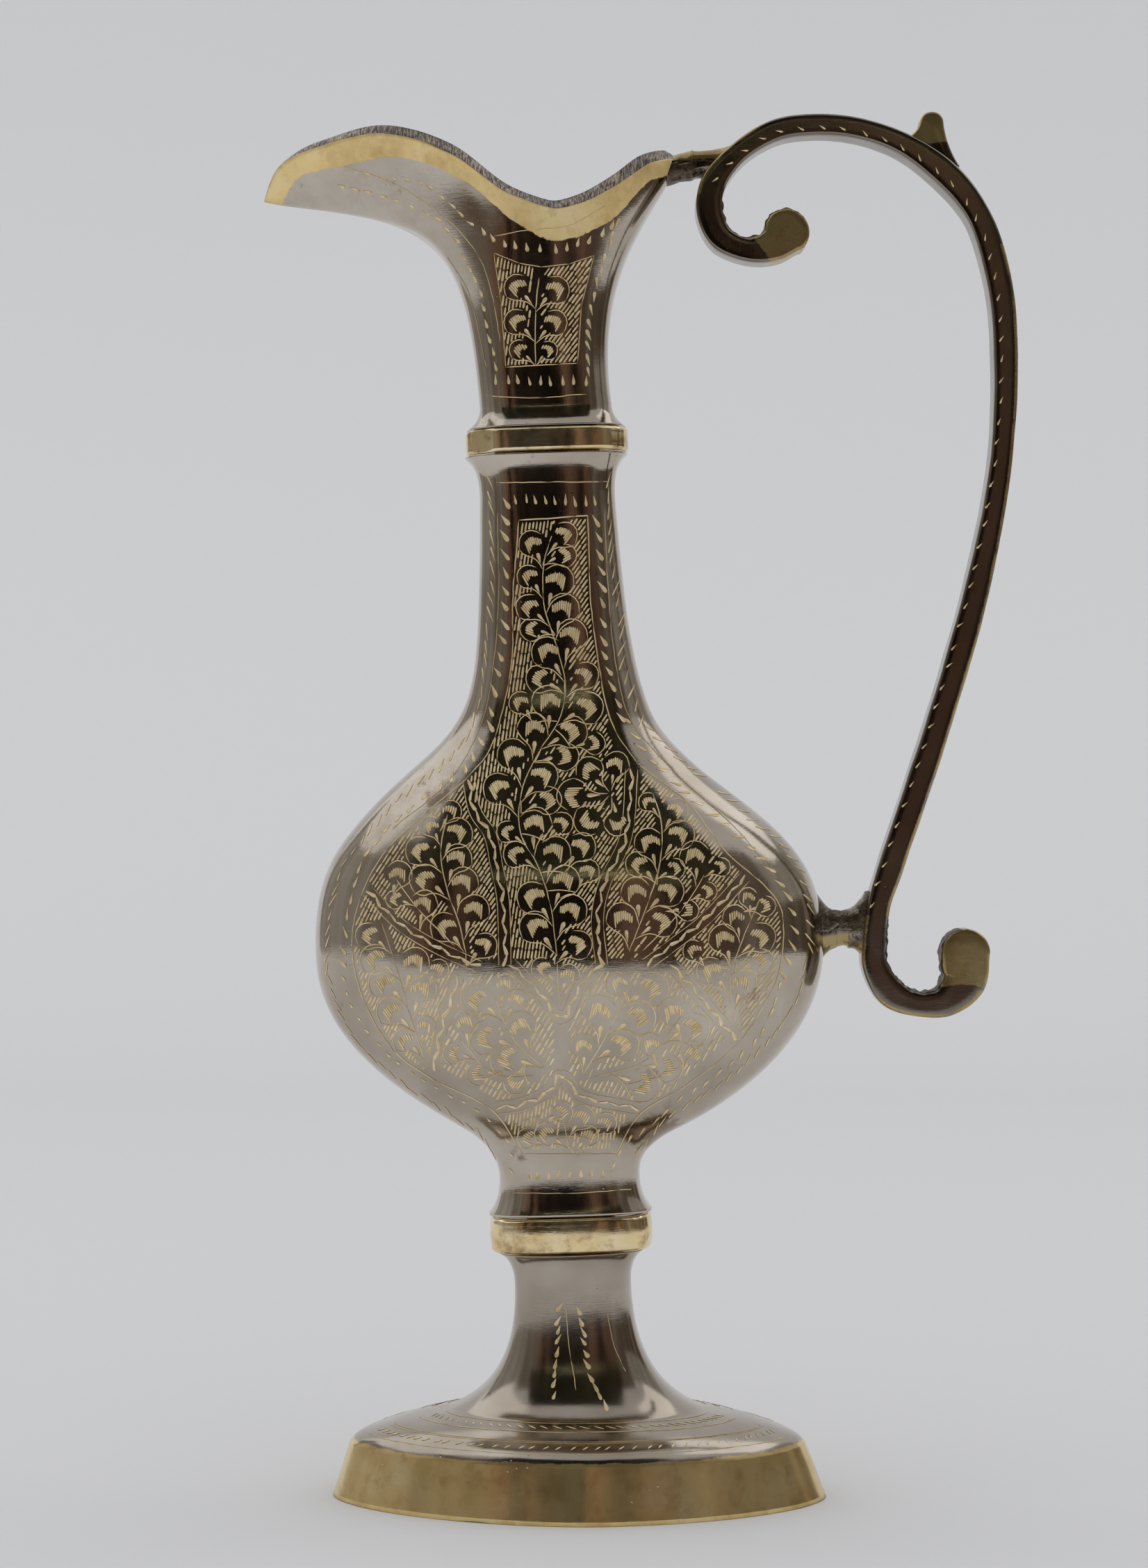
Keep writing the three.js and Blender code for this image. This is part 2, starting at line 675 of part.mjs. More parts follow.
// Belly lug: from the belly's side to the strap, with braze at both ends
const bellyLugLevel = bellyLevel + bellyLugRise;
const bellyX = bellyHalfWidth + smoothValue(bellySway, bellyLugLevel - bodyBase);
const bellyBrazeEnd = bellyX + brazeLength;
const strapX = strapXAt(bellyLugLevel, 0.6, 0.9);
const strapBrazeStart = strapX - strapHalfWidth - brazeLength - seatGap;

function makeBellyBraze() {
  const lump = makeFillet(bellyBrazeEnd, bellyX - brazeSink, wallBrazeHeight, lugDepth + brazeLength);
  return toGeometry(lump.subtract(toSolid(makeBodyTool(seatGap))));
}

function makeBellyLug() {
  const start = { x: bellyBrazeEnd + seatGap, height: bellyLugHeight, depth: lugDepth, level: bellyLugLevel };
  return toGeometry(makeStub([start, { ...start, x: strapBrazeStart - seatGap }]));
}

function makeStrapBraze() {
  const lump = makeFillet(strapBrazeStart, strapX - strapHalfWidth, strapBrazeHeight, lugDepth);
  return toGeometry(lump.subtract(makeStrapTool()));
}

// The jug, with every piece in its own named mesh
const jug = new THREE.Group();

function addPiece(name, geometry, finish, lean = leanMatrix(1)) {
  geometry.applyMatrix4(lean);
  geometry.computeVertexNormals();
  const mesh = new THREE.Mesh(geometry, new THREE.MeshStandardMaterial(finish));
  mesh.name = name;
  jug.add(mesh);
}

const body = makeBody();
const spout = makeSpout();

addPiece('foot', makeFoot(), plate, leanMatrix(0));
addPiece(
  'lower_collar',
  makeCollar(lowerCollarBase, lowerCollarHeight, lowerBoreHalfWidth, lowerBoreHalfDepth),
  brass,
);
addPiece(
  'lower_ferrule',
  makeFerrule(footHeight - ferruleReach, bodyBase + ferruleReach, lowerBoreHalfWidth, lowerBoreHalfDepth),
  brass,
);
addPiece('body_floor', makeFloor(), brass);
addPiece('body_front', seamHalf(body, -1), plate);
addPiece('body_rear', seamHalf(body, 1), plate);
addPiece(
  'upper_collar',
  makeCollar(upperCollarBase, upperCollarHeight, upperBoreHalfWidth, upperBoreHalfDepth),
  brass,
);
addPiece(
  'upper_ferrule',
  makeFerrule(bodyTop - ferruleReach, spoutBase + ferruleReach, upperBoreHalfWidth, upperBoreHalfDepth),
  brass,
);
addPiece('spout_front', seamHalf(spout, -1), plate);
addPiece('spout_rear', seamHalf(spout, 1), plate);
addPiece('handle', makeHandle(), plate);
addPiece('rim_lug', makeRimLug(), plate);
addPiece('rim_braze', makeRimBraze(), solder);
addPiece('belly_lug', makeBellyLug(), brass);
addPiece('belly_braze', makeBellyBraze(), solder);
addPiece('strap_braze', makeStrapBraze(), solder);

// The origin is at the middle of the whole jug's footprint, on the surface that it stands on.
const extent = new THREE.Box3().setFromObject(jug, true);
const middle = extent.getCenter(new THREE.Vector3());
jug.position.set(-middle.x, -middle.y, -extent.min.z);
jug.updateMatrixWorld(true);

export default jug;
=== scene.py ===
# Brass ewer with worn grey plating and chiselled ornament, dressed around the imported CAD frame.
# Shapes are written in millimetres on the ewer's own leaning axis and turned to metres in the CAD frame.
import math
import random

import bpy
import numpy as np
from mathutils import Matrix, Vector, noise
from mathutils.bvhtree import BVHTree


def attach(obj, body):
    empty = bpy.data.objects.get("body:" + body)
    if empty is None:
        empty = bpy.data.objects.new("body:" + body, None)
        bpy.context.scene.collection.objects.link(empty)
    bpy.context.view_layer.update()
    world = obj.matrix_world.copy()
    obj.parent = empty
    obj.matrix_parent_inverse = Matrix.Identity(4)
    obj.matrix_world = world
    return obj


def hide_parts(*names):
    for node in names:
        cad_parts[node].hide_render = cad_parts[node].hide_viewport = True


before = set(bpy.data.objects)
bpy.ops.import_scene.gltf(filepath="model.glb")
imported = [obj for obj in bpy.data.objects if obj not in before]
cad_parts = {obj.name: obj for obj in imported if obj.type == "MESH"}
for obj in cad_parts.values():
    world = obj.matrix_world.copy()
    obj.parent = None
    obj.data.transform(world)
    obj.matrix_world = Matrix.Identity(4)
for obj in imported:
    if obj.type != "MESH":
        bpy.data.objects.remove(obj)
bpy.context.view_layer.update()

MM = 0.001
SEED = 41
random.seed(SEED)

# Sizes shared with the CAD source, in mm
LEAN = math.radians(1.98)
BASE_X = -9.408
WALL = 2.2
FOOT_H, FOOT_W, FOOT_D = 44.7, 44.6, 27.0
SKIRT_H, SKIRT_DRAFT, SKIRT_EDGE = 10.0, 3.5, 0.9
DOME_H, DOME_W = 16.1, 22.8
STEM_W, STEM_D, STEM_WAIST = 10.5, 8.6, 38.6
COLLAR_W, COLLAR_D, COLLAR_EDGE = 14.7, 11.0, 0.7
LOWER_COLLAR, UPPER_COLLAR = (45.0, 6.3), (188.1, 4.2)
LOWER_BORE, UPPER_BORE = (8.2, 6.2), (9.8, 6.9)
REACH = 5.6
BODY_BASE, BODY_H = 51.6, 136.2
WAIST_H, WAIST_W = 6.6, 12.65
BELLY_H, BELLY_W, BELLY_D = 47.4, 45.8, 23.0
SHOULDER_H, SHOULDER_W = 78.9, 27.0
NECK_W, NECK_D, NECK_STRAIGHT, FLANGE = 12.2, 9.3, 5.3, 2.4
SWAY = [(6.6, 0), (10, .1), (13, .7), (16, 1.75), (21, 2.05), (38, 1.4), (57, 1.05), (68, 0), (78, -1.05),
        (87, -.25), (94, .25), (112, 0), (128, -.2)]
SPOUT_BASE, SPOUT_WAIST, SADDLE = 192.6, 196.8, 232.4
SADDLE_SHIFT, BEAK, PEAK_RISE, TIP_RISE = 3.0, 51.4, 14.6, 4.7
CORNER, CORNER_RISE, LIP_D, LIP_BEVEL = 25.4, 10.1, 12.5, 1.6
HANDLE_REACH, HANDLE_TOP = 83.1, 245.9
STRAP_W, STRAP_D = 1.95, 3.5
UPPER_SCROLL = (38.3, 231.0, 7.4)
LOWER_SCROLL = (64.6, 94.8, 8.0)
UPPER_BULB, LOWER_BULB = 4.2, 4.4
LUG_LEVEL = 101.0

# squareness of the oval sections: 2 is an ellipse, more is nearer to a rectangle, less is pointed
NECK_SQUARE, BELLY_SQUARE, COLLAR_SQUARE, STEM_SQUARE, POINTED = 3.2, 2.5, 3.4, 3.0, 1.75
# mm inside the plated area, for faces that are plated all over
ALL_PLATED = 4.0


def lerp(a, b, t):
    return a + (b - a) * t


def smoothstep(x, low, high):
    t = np.clip((x - low) / (high - low), 0, 1)
    return t * t * (3 - 2 * t)


def neighbours(count):
    """Indices before and after each item of a row, held at both ends."""
    at = np.arange(count)
    return np.maximum(at - 1, 0), np.minimum(at + 1, count - 1)


def smooth_value(rows, place):
    """Smooth curve through rows of (place, value), level beyond both ends, as in the CAD source."""
    xs, ys = np.asarray(rows, float).T
    x = np.clip(np.asarray(place, float), xs[0], xs[-1])
    at = np.clip(np.searchsorted(xs, x, side="right") - 1, 0, len(xs) - 2)
    before, after = neighbours(len(xs))
    slope = (ys[after] - ys[before]) / (xs[after] - xs[before])
    span = xs[at + 1] - xs[at]
    t = (x - xs[at]) / span
    first = ys[at] * (1 + 2 * t) * (1 - t) ** 2 + ys[at + 1] * t * t * (3 - 2 * t)
    return first + span * (slope[at] * t * (1 - t) ** 2 + slope[at + 1] * t * t * (t - 1))


def chain(start, *parts):
    """Points along cubic Bezier curves joined end to end; a part is two handles, its end and its steps."""
    a = np.array(start, float)
    points = [a[None]]
    for *knots, steps in parts:
        b, c, d = np.array(knots, float)
        t = np.linspace(0, 1, steps + 1)[1:, None]
        points.append(a * (1 - t) ** 3 + 3 * b * t * (1 - t) ** 2 + 3 * c * t * t * (1 - t) + d * t ** 3)
        a = d
    return np.concatenate(points)


def run_along(path):
    """Distance along a path at each of its points."""
    return np.concatenate([[0], np.cumsum(np.linalg.norm(np.diff(path, axis=0), axis=1))])


def even_rows(rows, count, axes=3):
    """So many rows, evenly spaced along the path that the first columns draw."""
    run = run_along(rows[:, :axes])
    want = np.linspace(0, run[-1], count)
    return np.stack([np.interp(want, run, column) for column in rows.T], -1)


def unit(vectors):
    return vectors / np.linalg.norm(vectors, axis=1)[:, None]


def lean(points, share=1.0):
    """Turns points (n, 3) about the foot's centre, with the stack's lean towards the beak."""
    a = LEAN * share
    x, y, z = points[..., 0], points[..., 1], points[..., 2]
    return np.stack([x * np.cos(a) - z * np.sin(a), y, z * np.cos(a) + x * np.sin(a)], -1)


def to_world(points):
    """From the leaned frame in mm to the CAD frame in metres."""
    return (points + np.array([BASE_X, 0, 0])) * MM


# Rings and meshes
QUARTER = 48          # points in a quarter of a ring
COLUMNS = 4 * QUARTER
DENSE = 400           # samples in a quarter, from which the even ones are taken


def oval_unit(angles, squareness):
    c, s = np.cos(angles), np.sin(angles)
    power = 2 / squareness
    return np.sign(c) * np.abs(c) ** power, np.sign(s) * np.abs(s) ** power


def even_ring(curve):
    """A ring of evenly spaced points from curve(angles) -> (n, 3), with its four corners kept in place."""
    # the cosine spacing keeps samples where a pointed oval turns fast
    shares = 0.5 - 0.5 * np.cos(np.linspace(0, np.pi, DENSE))
    quarters = [curve((q + shares) * np.pi / 2) for q in range(4)]
    return np.concatenate([even_rows(dense, QUARTER + 1)[:-1] for dense in quarters])


def station_ring(z, half_width, half_depth, squareness, shift=0.0):
    def curve(angles):
        x, y = oval_unit(angles, squareness)
        return np.stack([x * half_width + shift, y * half_depth, np.full_like(x, z)], -1)
    return even_ring(curve)


def bore_rings(bore, *levels):
    return [station_ring(z, *bore, NECK_SQUARE) for z in levels]


def profile_stations(profile, depth_of, shape_of, inset=0.0):
    """Rows of (z, half width, half depth, squareness) up a profile of (half width, height)."""
    before, after = neighbours(len(profile))
    slope = unit(profile[after] - profile[before])
    return np.stack([
        profile[:, 1] + inset * slope[:, 0], profile[:, 0] - inset * slope[:, 1],
        depth_of(profile[:, 0]) - inset, shape_of(profile[:, 0]),
    ], -1)


def loft_faces(rows, columns=COLUMNS, closed=True):
    """Faces between rings of points, from the last ring back to the first too if the loft is closed."""
    faces = []
    for i in range(rows if closed else rows - 1):
        near, far = i * columns, (i + 1) % rows * columns
        for j in range(columns):
            ahead = (j + 1) % columns
            faces.append((near + j, near + ahead, far + ahead, far + j))
    return faces


def capped_faces(rows, columns, turned=False):
    """Faces between rings with a flat cap at both ends, all turned over if the rings run the other way."""
    last = (rows - 1) * columns
    faces = loft_faces(rows, columns, False)
    faces += [tuple(range(columns))[::-1], tuple(range(last, last + columns))]
    return [face[::-1] for face in faces] if turned else faces


def show(name, data):
    thing = bpy.data.objects.new(name, data)
    bpy.context.scene.collection.objects.link(thing)
    return thing


def make_piece(name, points, faces, material, slot, *nodes, smooth=True, attributes=None, colours=None):
    """A mesh piece in metres that rides on the jug and stands for the given CAD nodes."""
    mesh = bpy.data.meshes.new(name)
    mesh.from_pydata([tuple(p) for p in points], [], faces)
    for layer_material in material if isinstance(material, list) else [material]:
        mesh.materials.append(layer_material)
    for key, values in (attributes or {}).items():
        layer = mesh.attributes.new(key, "FLOAT", "POINT")
        layer.data.foreach_set("value", np.asarray(values, np.float32))
    if colours is not None:
        mesh.polygons.foreach_set("material_index", np.asarray(colours, np.int32))
    mesh.polygons.foreach_set("use_smooth", [smooth] * len(mesh.polygons))
    mesh.update()
    piece = show(name, mesh)
    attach(piece, "root")
    if nodes:
        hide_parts(*nodes)
    return piece


def wobble(points, scale, amount, seed):
    """Smooth signed noise at each point, in mm, for hand-hammered and filed metal."""
    return np.array([
        amount * noise.noise(Vector((p[0] / scale + seed, p[1] / scale - seed, p[2] / scale + 2 * seed)))
        for p in points
    ])


# Materials
class Nodes:
    """Short calls for building the node tree of a material or world; lengths in the tree are in mm."""

    def __init__(self, owner, shader):
        owner.use_nodes = True
        self.owner, self.tree = owner, owner.node_tree
        self.shader = self.tree.nodes[shader]

    def put(self, node, inputs):
        """Links each input of a node to a socket, or gives it a number, vector or colour."""
        for key, value in inputs.items():
            socket = node.inputs[key]
            if isinstance(value, bpy.types.NodeSocket):
                self.tree.links.new(value, socket)
            else:
                socket.default_value = (*value, 1) if socket.type == "RGBA" else value
        return self.owner

    def add(self, kind, output, inputs=None, **settings):
        """A new node's output socket, after its settings and inputs are in place."""
        node = self.tree.nodes.new("ShaderNode" + kind)
        for key, value in settings.items():
            setattr(node, key, value)
        self.put(node, inputs or {})
        return node.outputs[output]

    def times(self, a, b):
        return self.add("Math", 0, {0: a, 1: b}, operation="MULTIPLY")

    def total(self, value, *others):
        for other in others:
            value = self.add("Math", 0, {0: value, 1: other}, operation="ADD")
        return value

    def stretched(self, x, y, z):
        """The place in mm, squeezed by three factors so that a pattern runs long along one axis."""
        return self.add("VectorMath", 0, {0: self.place, 1: (x, y, z)}, operation="MULTIPLY")

    def noise(self, size, detail=3.0, roughness=0.55, place=None, warp=0.0):
        inputs = {"Vector": place or self.place, "Scale": 1 / size, "Detail": detail}
        return self.add("TexNoise", "Fac", {**inputs, "Roughness": roughness, "Distortion": warp})

    def attribute(self, name):
        return self.add("Attribute", "Fac", attribute_name=name)

    def spread(self, value, low, high, to_low=0.0, to_high=1.0):
        ends = {"From Min": low, "From Max": high, "To Min": to_low, "To Max": to_high}
        return self.add("MapRange", "Result", {"Value": value, **ends})

    def ramp(self, value, *stops):
        """A colour from (place, colour) stops."""
        colour = self.add("ValToRGB", "Color", {"Fac": value})
        elements = colour.node.color_ramp.elements
        while len(elements) < len(stops):
            elements.new(0.5)
        for element, (place, tone) in zip(elements, stops):
            element.position = place
            element.color = (*tone, 1)
        return colour

    def mix(self, factor, a, b):
        return self.add("Mix", 2, {0: factor, 6: a, 7: b}, data_type="RGBA")

    def blend(self, factor, a, b):
        return self.add("Mix", 0, {0: factor, 2: a, 3: b}, data_type="FLOAT")

    def bump(self, *layers):
        """Bumps laid one on another, each of a height from 0 to 1 over a depth in mm."""
        under = {"Strength": 1}
        for height, depth in layers:
            normal = self.add("Bump", "Normal", {**under, "Distance": depth * MM, "Height": height})
            under["Normal"] = normal
        return normal

    def finish(self, colour, roughness, normal, metallic=1.0):
        inputs = {"Metallic": metallic, "Base Color": colour, "Roughness": roughness, "Normal": normal}
        return self.put(self.shader, inputs)


def material_nodes(name):
    """The nodes of a new material, with the place on the object in mm."""
    n = Nodes(bpy.data.materials.new(name), "Principled BSDF")
    n.place = n.add("VectorMath", 0, {0: n.add("TexCoord", "Object"), "Scale": 1 / MM}, operation="SCALE")
    return n


PLATE_DARK, PLATE_MID, PLATE_PALE = (.42, .36, .29), (.53, .465, .385), (.63, .57, .49)
TARNISH = (.20, .13, .075)
BRASS_DEEP, BRASS_MID, BRASS_PALE = (.60, .40, .16), (.88, .67, .31), (.97, .80, .45)
SOLDER_DARK, SOLDER_PALE = (.085, .064, .041), (.19, .155, .11)


# tones darkened by a factor below 1: painted shade, which makes darker copies of one material
def painted_shade_tones(tones, depth):
    return [tuple(depth * value for value in tone) for tone in tones]


def brass_colour(n, dirt, depth=1.0):
    tones = painted_shade_tones((BRASS_DEEP, BRASS_MID, BRASS_PALE), depth)
    return n.mix(dirt, n.ramp(n.noise(9, 4, .6), *zip((.25, .5, .75), tones)), tones[0])


def metal(name, uneven=.05, plate_rough=.07, bare_metallic=.95, bare_rough=.14, depth=1.0):
    """Plated brass. The vertex values are cover (mm inside the plated area), solder and worn (0 to 1). A
    depth below 1 darkens all its tones, a painted shade.
    """
    n = material_nodes(name)
    broad, middle, fine = n.noise(16, 3), n.noise(3.2, 4, .6), n.noise(.7, 3, .6)
    hair = n.noise(1, 3, .6, n.stretched(.35, .35, 5.0), .6)
    hair_down = n.noise(1, 3, .6, n.stretched(5.0, 5.0, .3), .5)

    ragged = n.spread(middle, .2, .8, -.35, .35), n.spread(fine, .2, .8, -.18, .18)
    plated = n.spread(n.total(n.attribute("cover"), *ragged), -.12, .12)
    wear = n.times(n.attribute("worn"), n.spread(n.noise(2.4, 5, .7), .42, .66))
    # the solder mask also lays painted shade on the belly lug's top
    solder = n.spread(n.total(n.attribute("solder"), n.spread(middle, .2, .8, -.3, .3)), .4, .6)

    tones = painted_shade_tones((PLATE_DARK, PLATE_MID, PLATE_PALE), depth)
    plate = n.mix(wear, n.ramp(broad, *zip((.3, .52, .72), tones)), tones[2])
    stains = n.spread(n.total(n.noise(5.5, 5, .65), n.attribute("stain")), .64, .76, 0, .75)
    pits = n.spread(n.add("TexVoronoi", "Distance", {"Vector": n.place, "Scale": 1 / 2.1}), .10, .02)
    pits = n.times(pits, n.spread(n.noise(7, 2), .55, .7))
    plate = n.mix(pits, n.mix(stains, plate, TARNISH), TARNISH)

    brass = brass_colour(n, n.spread(n.noise(4, 5, .7), .52, .76, 0, .8), depth)
    colour = n.mix(plated, brass, plate)
    colour = n.mix(solder, colour, n.ramp(n.noise(1.3, 4, .6), (.35, SOLDER_DARK), (.65, SOLDER_PALE)))

    smudge = n.spread(n.noise(11, 5, .6), .4, .75, 0, .08)
    scratches = n.spread(hair, .55, .75, 0, .06), n.spread(hair_down, .58, .75, 0, .05)
    rough = n.total(smudge, plate_rough, *scratches)
    rough = n.blend(plated, n.total(rough, bare_rough), rough)
    rough = n.total(rough, n.times(wear, .14))
    rough = n.blend(solder, rough, n.spread(fine, .2, .8, .38, .6))

    normal = n.bump((n.noise(13, 2, .5), uneven * 4), (middle, uneven * .35), (hair, .006), (hair_down, .005),
                    (n.times(solder, fine), .25), (n.times(pits, -1.0), .05))
    return n.finish(colour, rough, normal, n.blend(plated, bare_metallic, 1.0))


def filed_edge(name):
    """The lip's filed bevel: grey-brown metal with fine parallel file strokes down its face."""
    n = material_nodes(name)
    strokes = n.noise(1, 2, .6, n.stretched(4.2, .8, .12))
    tone = n.ramp(strokes, (.38, (.08, .062, .05)), (.5, (.19, .155, .13)), (.62, (.37, .32, .28)))
    colour = n.mix(n.spread(n.noise(6, 3), .56, .76, 0, .3), tone, BRASS_MID)
    normal = n.bump((strokes, .12), (n.noise(.5, 3), .02))
    return n.finish(colour, n.spread(strokes, .3, .7, .42, .26), normal)


def raw_brass(name, clean=.48, rough=.05):
    """Bare brass of the collars and of hidden sleeves, with brown tarnish and a few scratches."""
    n = material_nodes(name)
    dirt = n.spread(n.noise(3.6, 5, .65), clean, clean + .22, 0, .85)
    tone = n.ramp(n.noise(8, 3), (.3, (.84, .64, .32)), (.5, (.92, .75, .43)), (.72, (.96, .85, .60)))
    colour = n.mix(dirt, tone, (.32, .19, .08))
    hair = n.noise(1, 3, .6, n.stretched(.4, .4, 6.0), .4)
    roughness = n.total(n.spread(n.noise(6, 4), .3, .7, rough, rough + .14), n.spread(hair, .55, .75, 0, .1))
    normal = n.bump((n.noise(7, 2), .09), (n.noise(1.6, 3), .015), (hair, .006))
    return n.finish(colour, roughness, normal, .97)


plate_skin = metal("plated_skin", bare_metallic=.55, bare_rough=.33)
# the foot's plating is a copy 12% darker than the body's, a painted shade
plate_foot_painted_shade = metal("plated_foot_painted_shade", uneven=.04, plate_rough=.12, bare_metallic=.86, bare_rough=.0, depth=.88)
# the strap's plating is a copy at half the body's brightness, a painted shade; the thumb piece, lugs and
# brazes take it too
plate_strap_painted_shade = metal("plated_strap_painted_shade", uneven=.03, plate_rough=.12, bare_metallic=.9, bare_rough=.1, depth=.5)
lip_edge = filed_edge("filed_edge")
collar_brass = raw_brass("collar_brass")
sleeve_brass = raw_brass("sleeve_brass", clean=.4, rough=.3)


# Body
def body_profile(steps=26):
    """(half width, height) points up the body's outline."""
    neck_end = BODY_H - NECK_STRAIGHT
    turn_w, turn_h = lerp(WAIST_W, BELLY_W, .234), lerp(WAIST_H, BELLY_H, .22)
    few, many = steps // 2, int(steps * 1.6)
    return chain(
        (WAIST_W + FLANGE - .4, 0),
        ((WAIST_W + .3, WAIST_H * .35), (WAIST_W, WAIST_H * .65), (WAIST_W, WAIST_H), few),
        ((WAIST_W, lerp(WAIST_H, turn_h, .48)), (lerp(WAIST_W, turn_w, .46), lerp(WAIST_H, turn_h, .76)),
         (turn_w, turn_h), few),
        ((lerp(turn_w, BELLY_W, .5), lerp(turn_h, BELLY_H, .22)), (BELLY_W, lerp(turn_h, BELLY_H, .53)),
         (BELLY_W, BELLY_H), many),
        ((BELLY_W, lerp(BELLY_H, SHOULDER_H, .48)),
         (lerp(SHOULDER_W, BELLY_W, .72), lerp(BELLY_H, SHOULDER_H, .635)), (SHOULDER_W, SHOULDER_H), many),
        ((NECK_W + 3.7, lerp(SHOULDER_H, neck_end, .192)), (NECK_W + 1.6, lerp(SHOULDER_H, neck_end, .196)),
         (NECK_W, neck_end - 2), steps * 2),
        ((NECK_W, BODY_H - NECK_STRAIGHT * .5), (NECK_W + 1, BODY_H - NECK_STRAIGHT * .22),
         (NECK_W + FLANGE, BODY_H), few),
    )


def body_swell(half_width):
    return (half_width - NECK_W) / (BELLY_W - NECK_W)


def body_depth(half_width):
    return lerp(NECK_D, BELLY_D, body_swell(half_width))


def body_shape(half_width):
    return lerp(NECK_SQUARE, BELLY_SQUARE, np.sqrt(np.maximum(body_swell(half_width), 0)))


def body_rings(inset, steps):
    """Pairs of (height, ring) up the body."""
    profile = body_profile(steps) + [0, BODY_BASE]
    rows = profile_stations(profile, body_depth, body_shape, inset)
    return [(row[0], station_ring(*row, float(smooth_value(SWAY, row[0] - BODY_BASE)))) for row in rows]


def patches(points, *marks):
    """Soft round marks of (strength, x, z, size) as seen from the front, on both faces, in the CAD frame."""
    total = np.zeros(len(points))
    for strength, x, z, size in marks:
        away = (points[:, 0] + BASE_X - x) ** 2 + (points[:, 2] - z) ** 2
        total += strength * np.exp(-away / (2 * size * size))
    return total


def build_body():
    outer = [ring for _, ring in body_rings(0, 26)]
    low, high = BODY_BASE + REACH + 2.6, BODY_BASE + BODY_H - REACH - .3
    inner = bore_rings(LOWER_BORE, BODY_BASE, low)
    inner += [ring for z, ring in body_rings(WALL, 8) if low + 1 < z < high - 1]
    inner += bore_rings(UPPER_BORE, high, BODY_BASE + BODY_H)
    rings = outer + inner[::-1]
    points = lean(np.concatenate(rings))
    cover = np.full(len(points), ALL_PLATED)
    cover[len(outer) * COLUMNS:] = -1
    worn = patches(points, (.8, -33.6, 129, 6.5), (.5, -39, 119, 6), (.3, 24, 118, 8))
    stain = patches(points, (.24, -36, 127, 2.6), (.26, 1, 66.3, 2.8), (.26, 6, 67.3, 2.8))
    return make_piece(
        "body_shell", to_world(points), loft_faces(len(rings)), plate_skin, "plating", "body_front",
        "body_rear", attributes={"cover": cover, "worn": np.clip(worn, 0, 1), "stain": stain},
    )


body_shell = build_body()


# Lip casting
# the lip line's rise to both sides of the saddle, as (share of the width, share of the rise)
BEAK_LINE = [(0, 0), (.15, .235), (.34, .74), (.57, 1.01), (.77, .9), (.91, .71), (1, TIP_RISE / PEAK_RISE)]
CORNER_LINE = [(0, 0), (.23, .18), (.49, .48), (.71, .8), (.85, .92), (1, 1)]
CAST_W, CAST_D = NECK_W - .3, NECK_D - .3
# handles of the two side curves from waist to lip: x, z, and how far each moves with the wall's inset
BEAK_SIDE = [(CAST_W, SPOUT_WAIST, 1, 0), (CAST_W + 1.8, SADDLE + .6, 1, .3),
             (BEAK * .424, SADDLE - 1.9, .3, 1), (BEAK, 0, 1, 0)]
CORNER_SIDE = [(CAST_W, SPOUT_WAIST, 1, 0), (CAST_W - 2.9, SADDLE - 9, 1, 0),
               (CORNER - 2.1, SADDLE + .7, 1, 0), (CORNER, 0, 1, 0)]
MIDDLE_Z = [SPOUT_WAIST, SPOUT_WAIST + 12, SADDLE - 11]
CAST_DEPTH = [CAST_D, CAST_D - .6, LIP_D - 2, LIP_D]
BLUNT_FROM, BLUNT_REACH = 45.0, 9.8
SADDLE_ROUND, SADDLE_FADE = 2.4, 12.0
BEAK_FLARE = .15
WALL_STEPS, INNER_STEPS = 90, 36


def lip_height(x):
    # the two lines run out level where they meet, which rounds the saddle
    away = np.abs(x - SADDLE_SHIFT)
    away = away - SADDLE_ROUND * (1 - np.exp(-away / SADDLE_ROUND)) * np.exp(-away / SADDLE_FADE)
    corner = SADDLE + CORNER_RISE * smooth_value(CORNER_LINE, away / (CORNER - SADDLE_SHIFT))
    beak = SADDLE + PEAK_RISE * smooth_value(BEAK_LINE, away / (BEAK + SADDLE_SHIFT))
    return np.where(x > SADDLE_SHIFT, corner, beak)


def cast_ring(t, inset, bevel):
    """The casting's ring at t from waist to lip; bevel is how far the wall stays below the lip line."""
    def curve(angles):
        ux, uy = oval_unit(angles, lerp(NECK_SQUARE, POINTED, t))
        across = np.abs(ux)
        total = np.zeros((len(angles), 3))
        for k, weight in enumerate([(1 - t) ** 3, 3 * t * (1 - t) ** 2, 3 * t * t * (1 - t), t ** 3]):
            cx, cz, in_x, in_z = (np.where(ux < 0, b, c) for b, c in zip(BEAK_SIDE[k], CORNER_SIDE[k]))
            z = lerp(MIDDLE_Z[k], cz + inset * in_z, across ** 2) if k < 3 else lip_height(ux * cx) - bevel
            total += weight * np.stack([ux * (cx - inset * in_x), uy * (CAST_DEPTH[k] - inset), z], -1)
        # the beak's last stretch is drawn in, which blunts its tip
        past = np.maximum(-BLUNT_FROM - total[:, 0], 0)
        total[:, 0] += past - BLUNT_REACH * (1 - np.exp(-past / BLUNT_REACH))
        # the beak's cheeks are drawn in under the lip, so that they face the table
        total[:, 1] *= 1 - BEAK_FLARE * 6.75 * (1 - t) * t * t * smoothstep(-total[:, 0], 3, 20)
        return total
    return even_ring(curve)


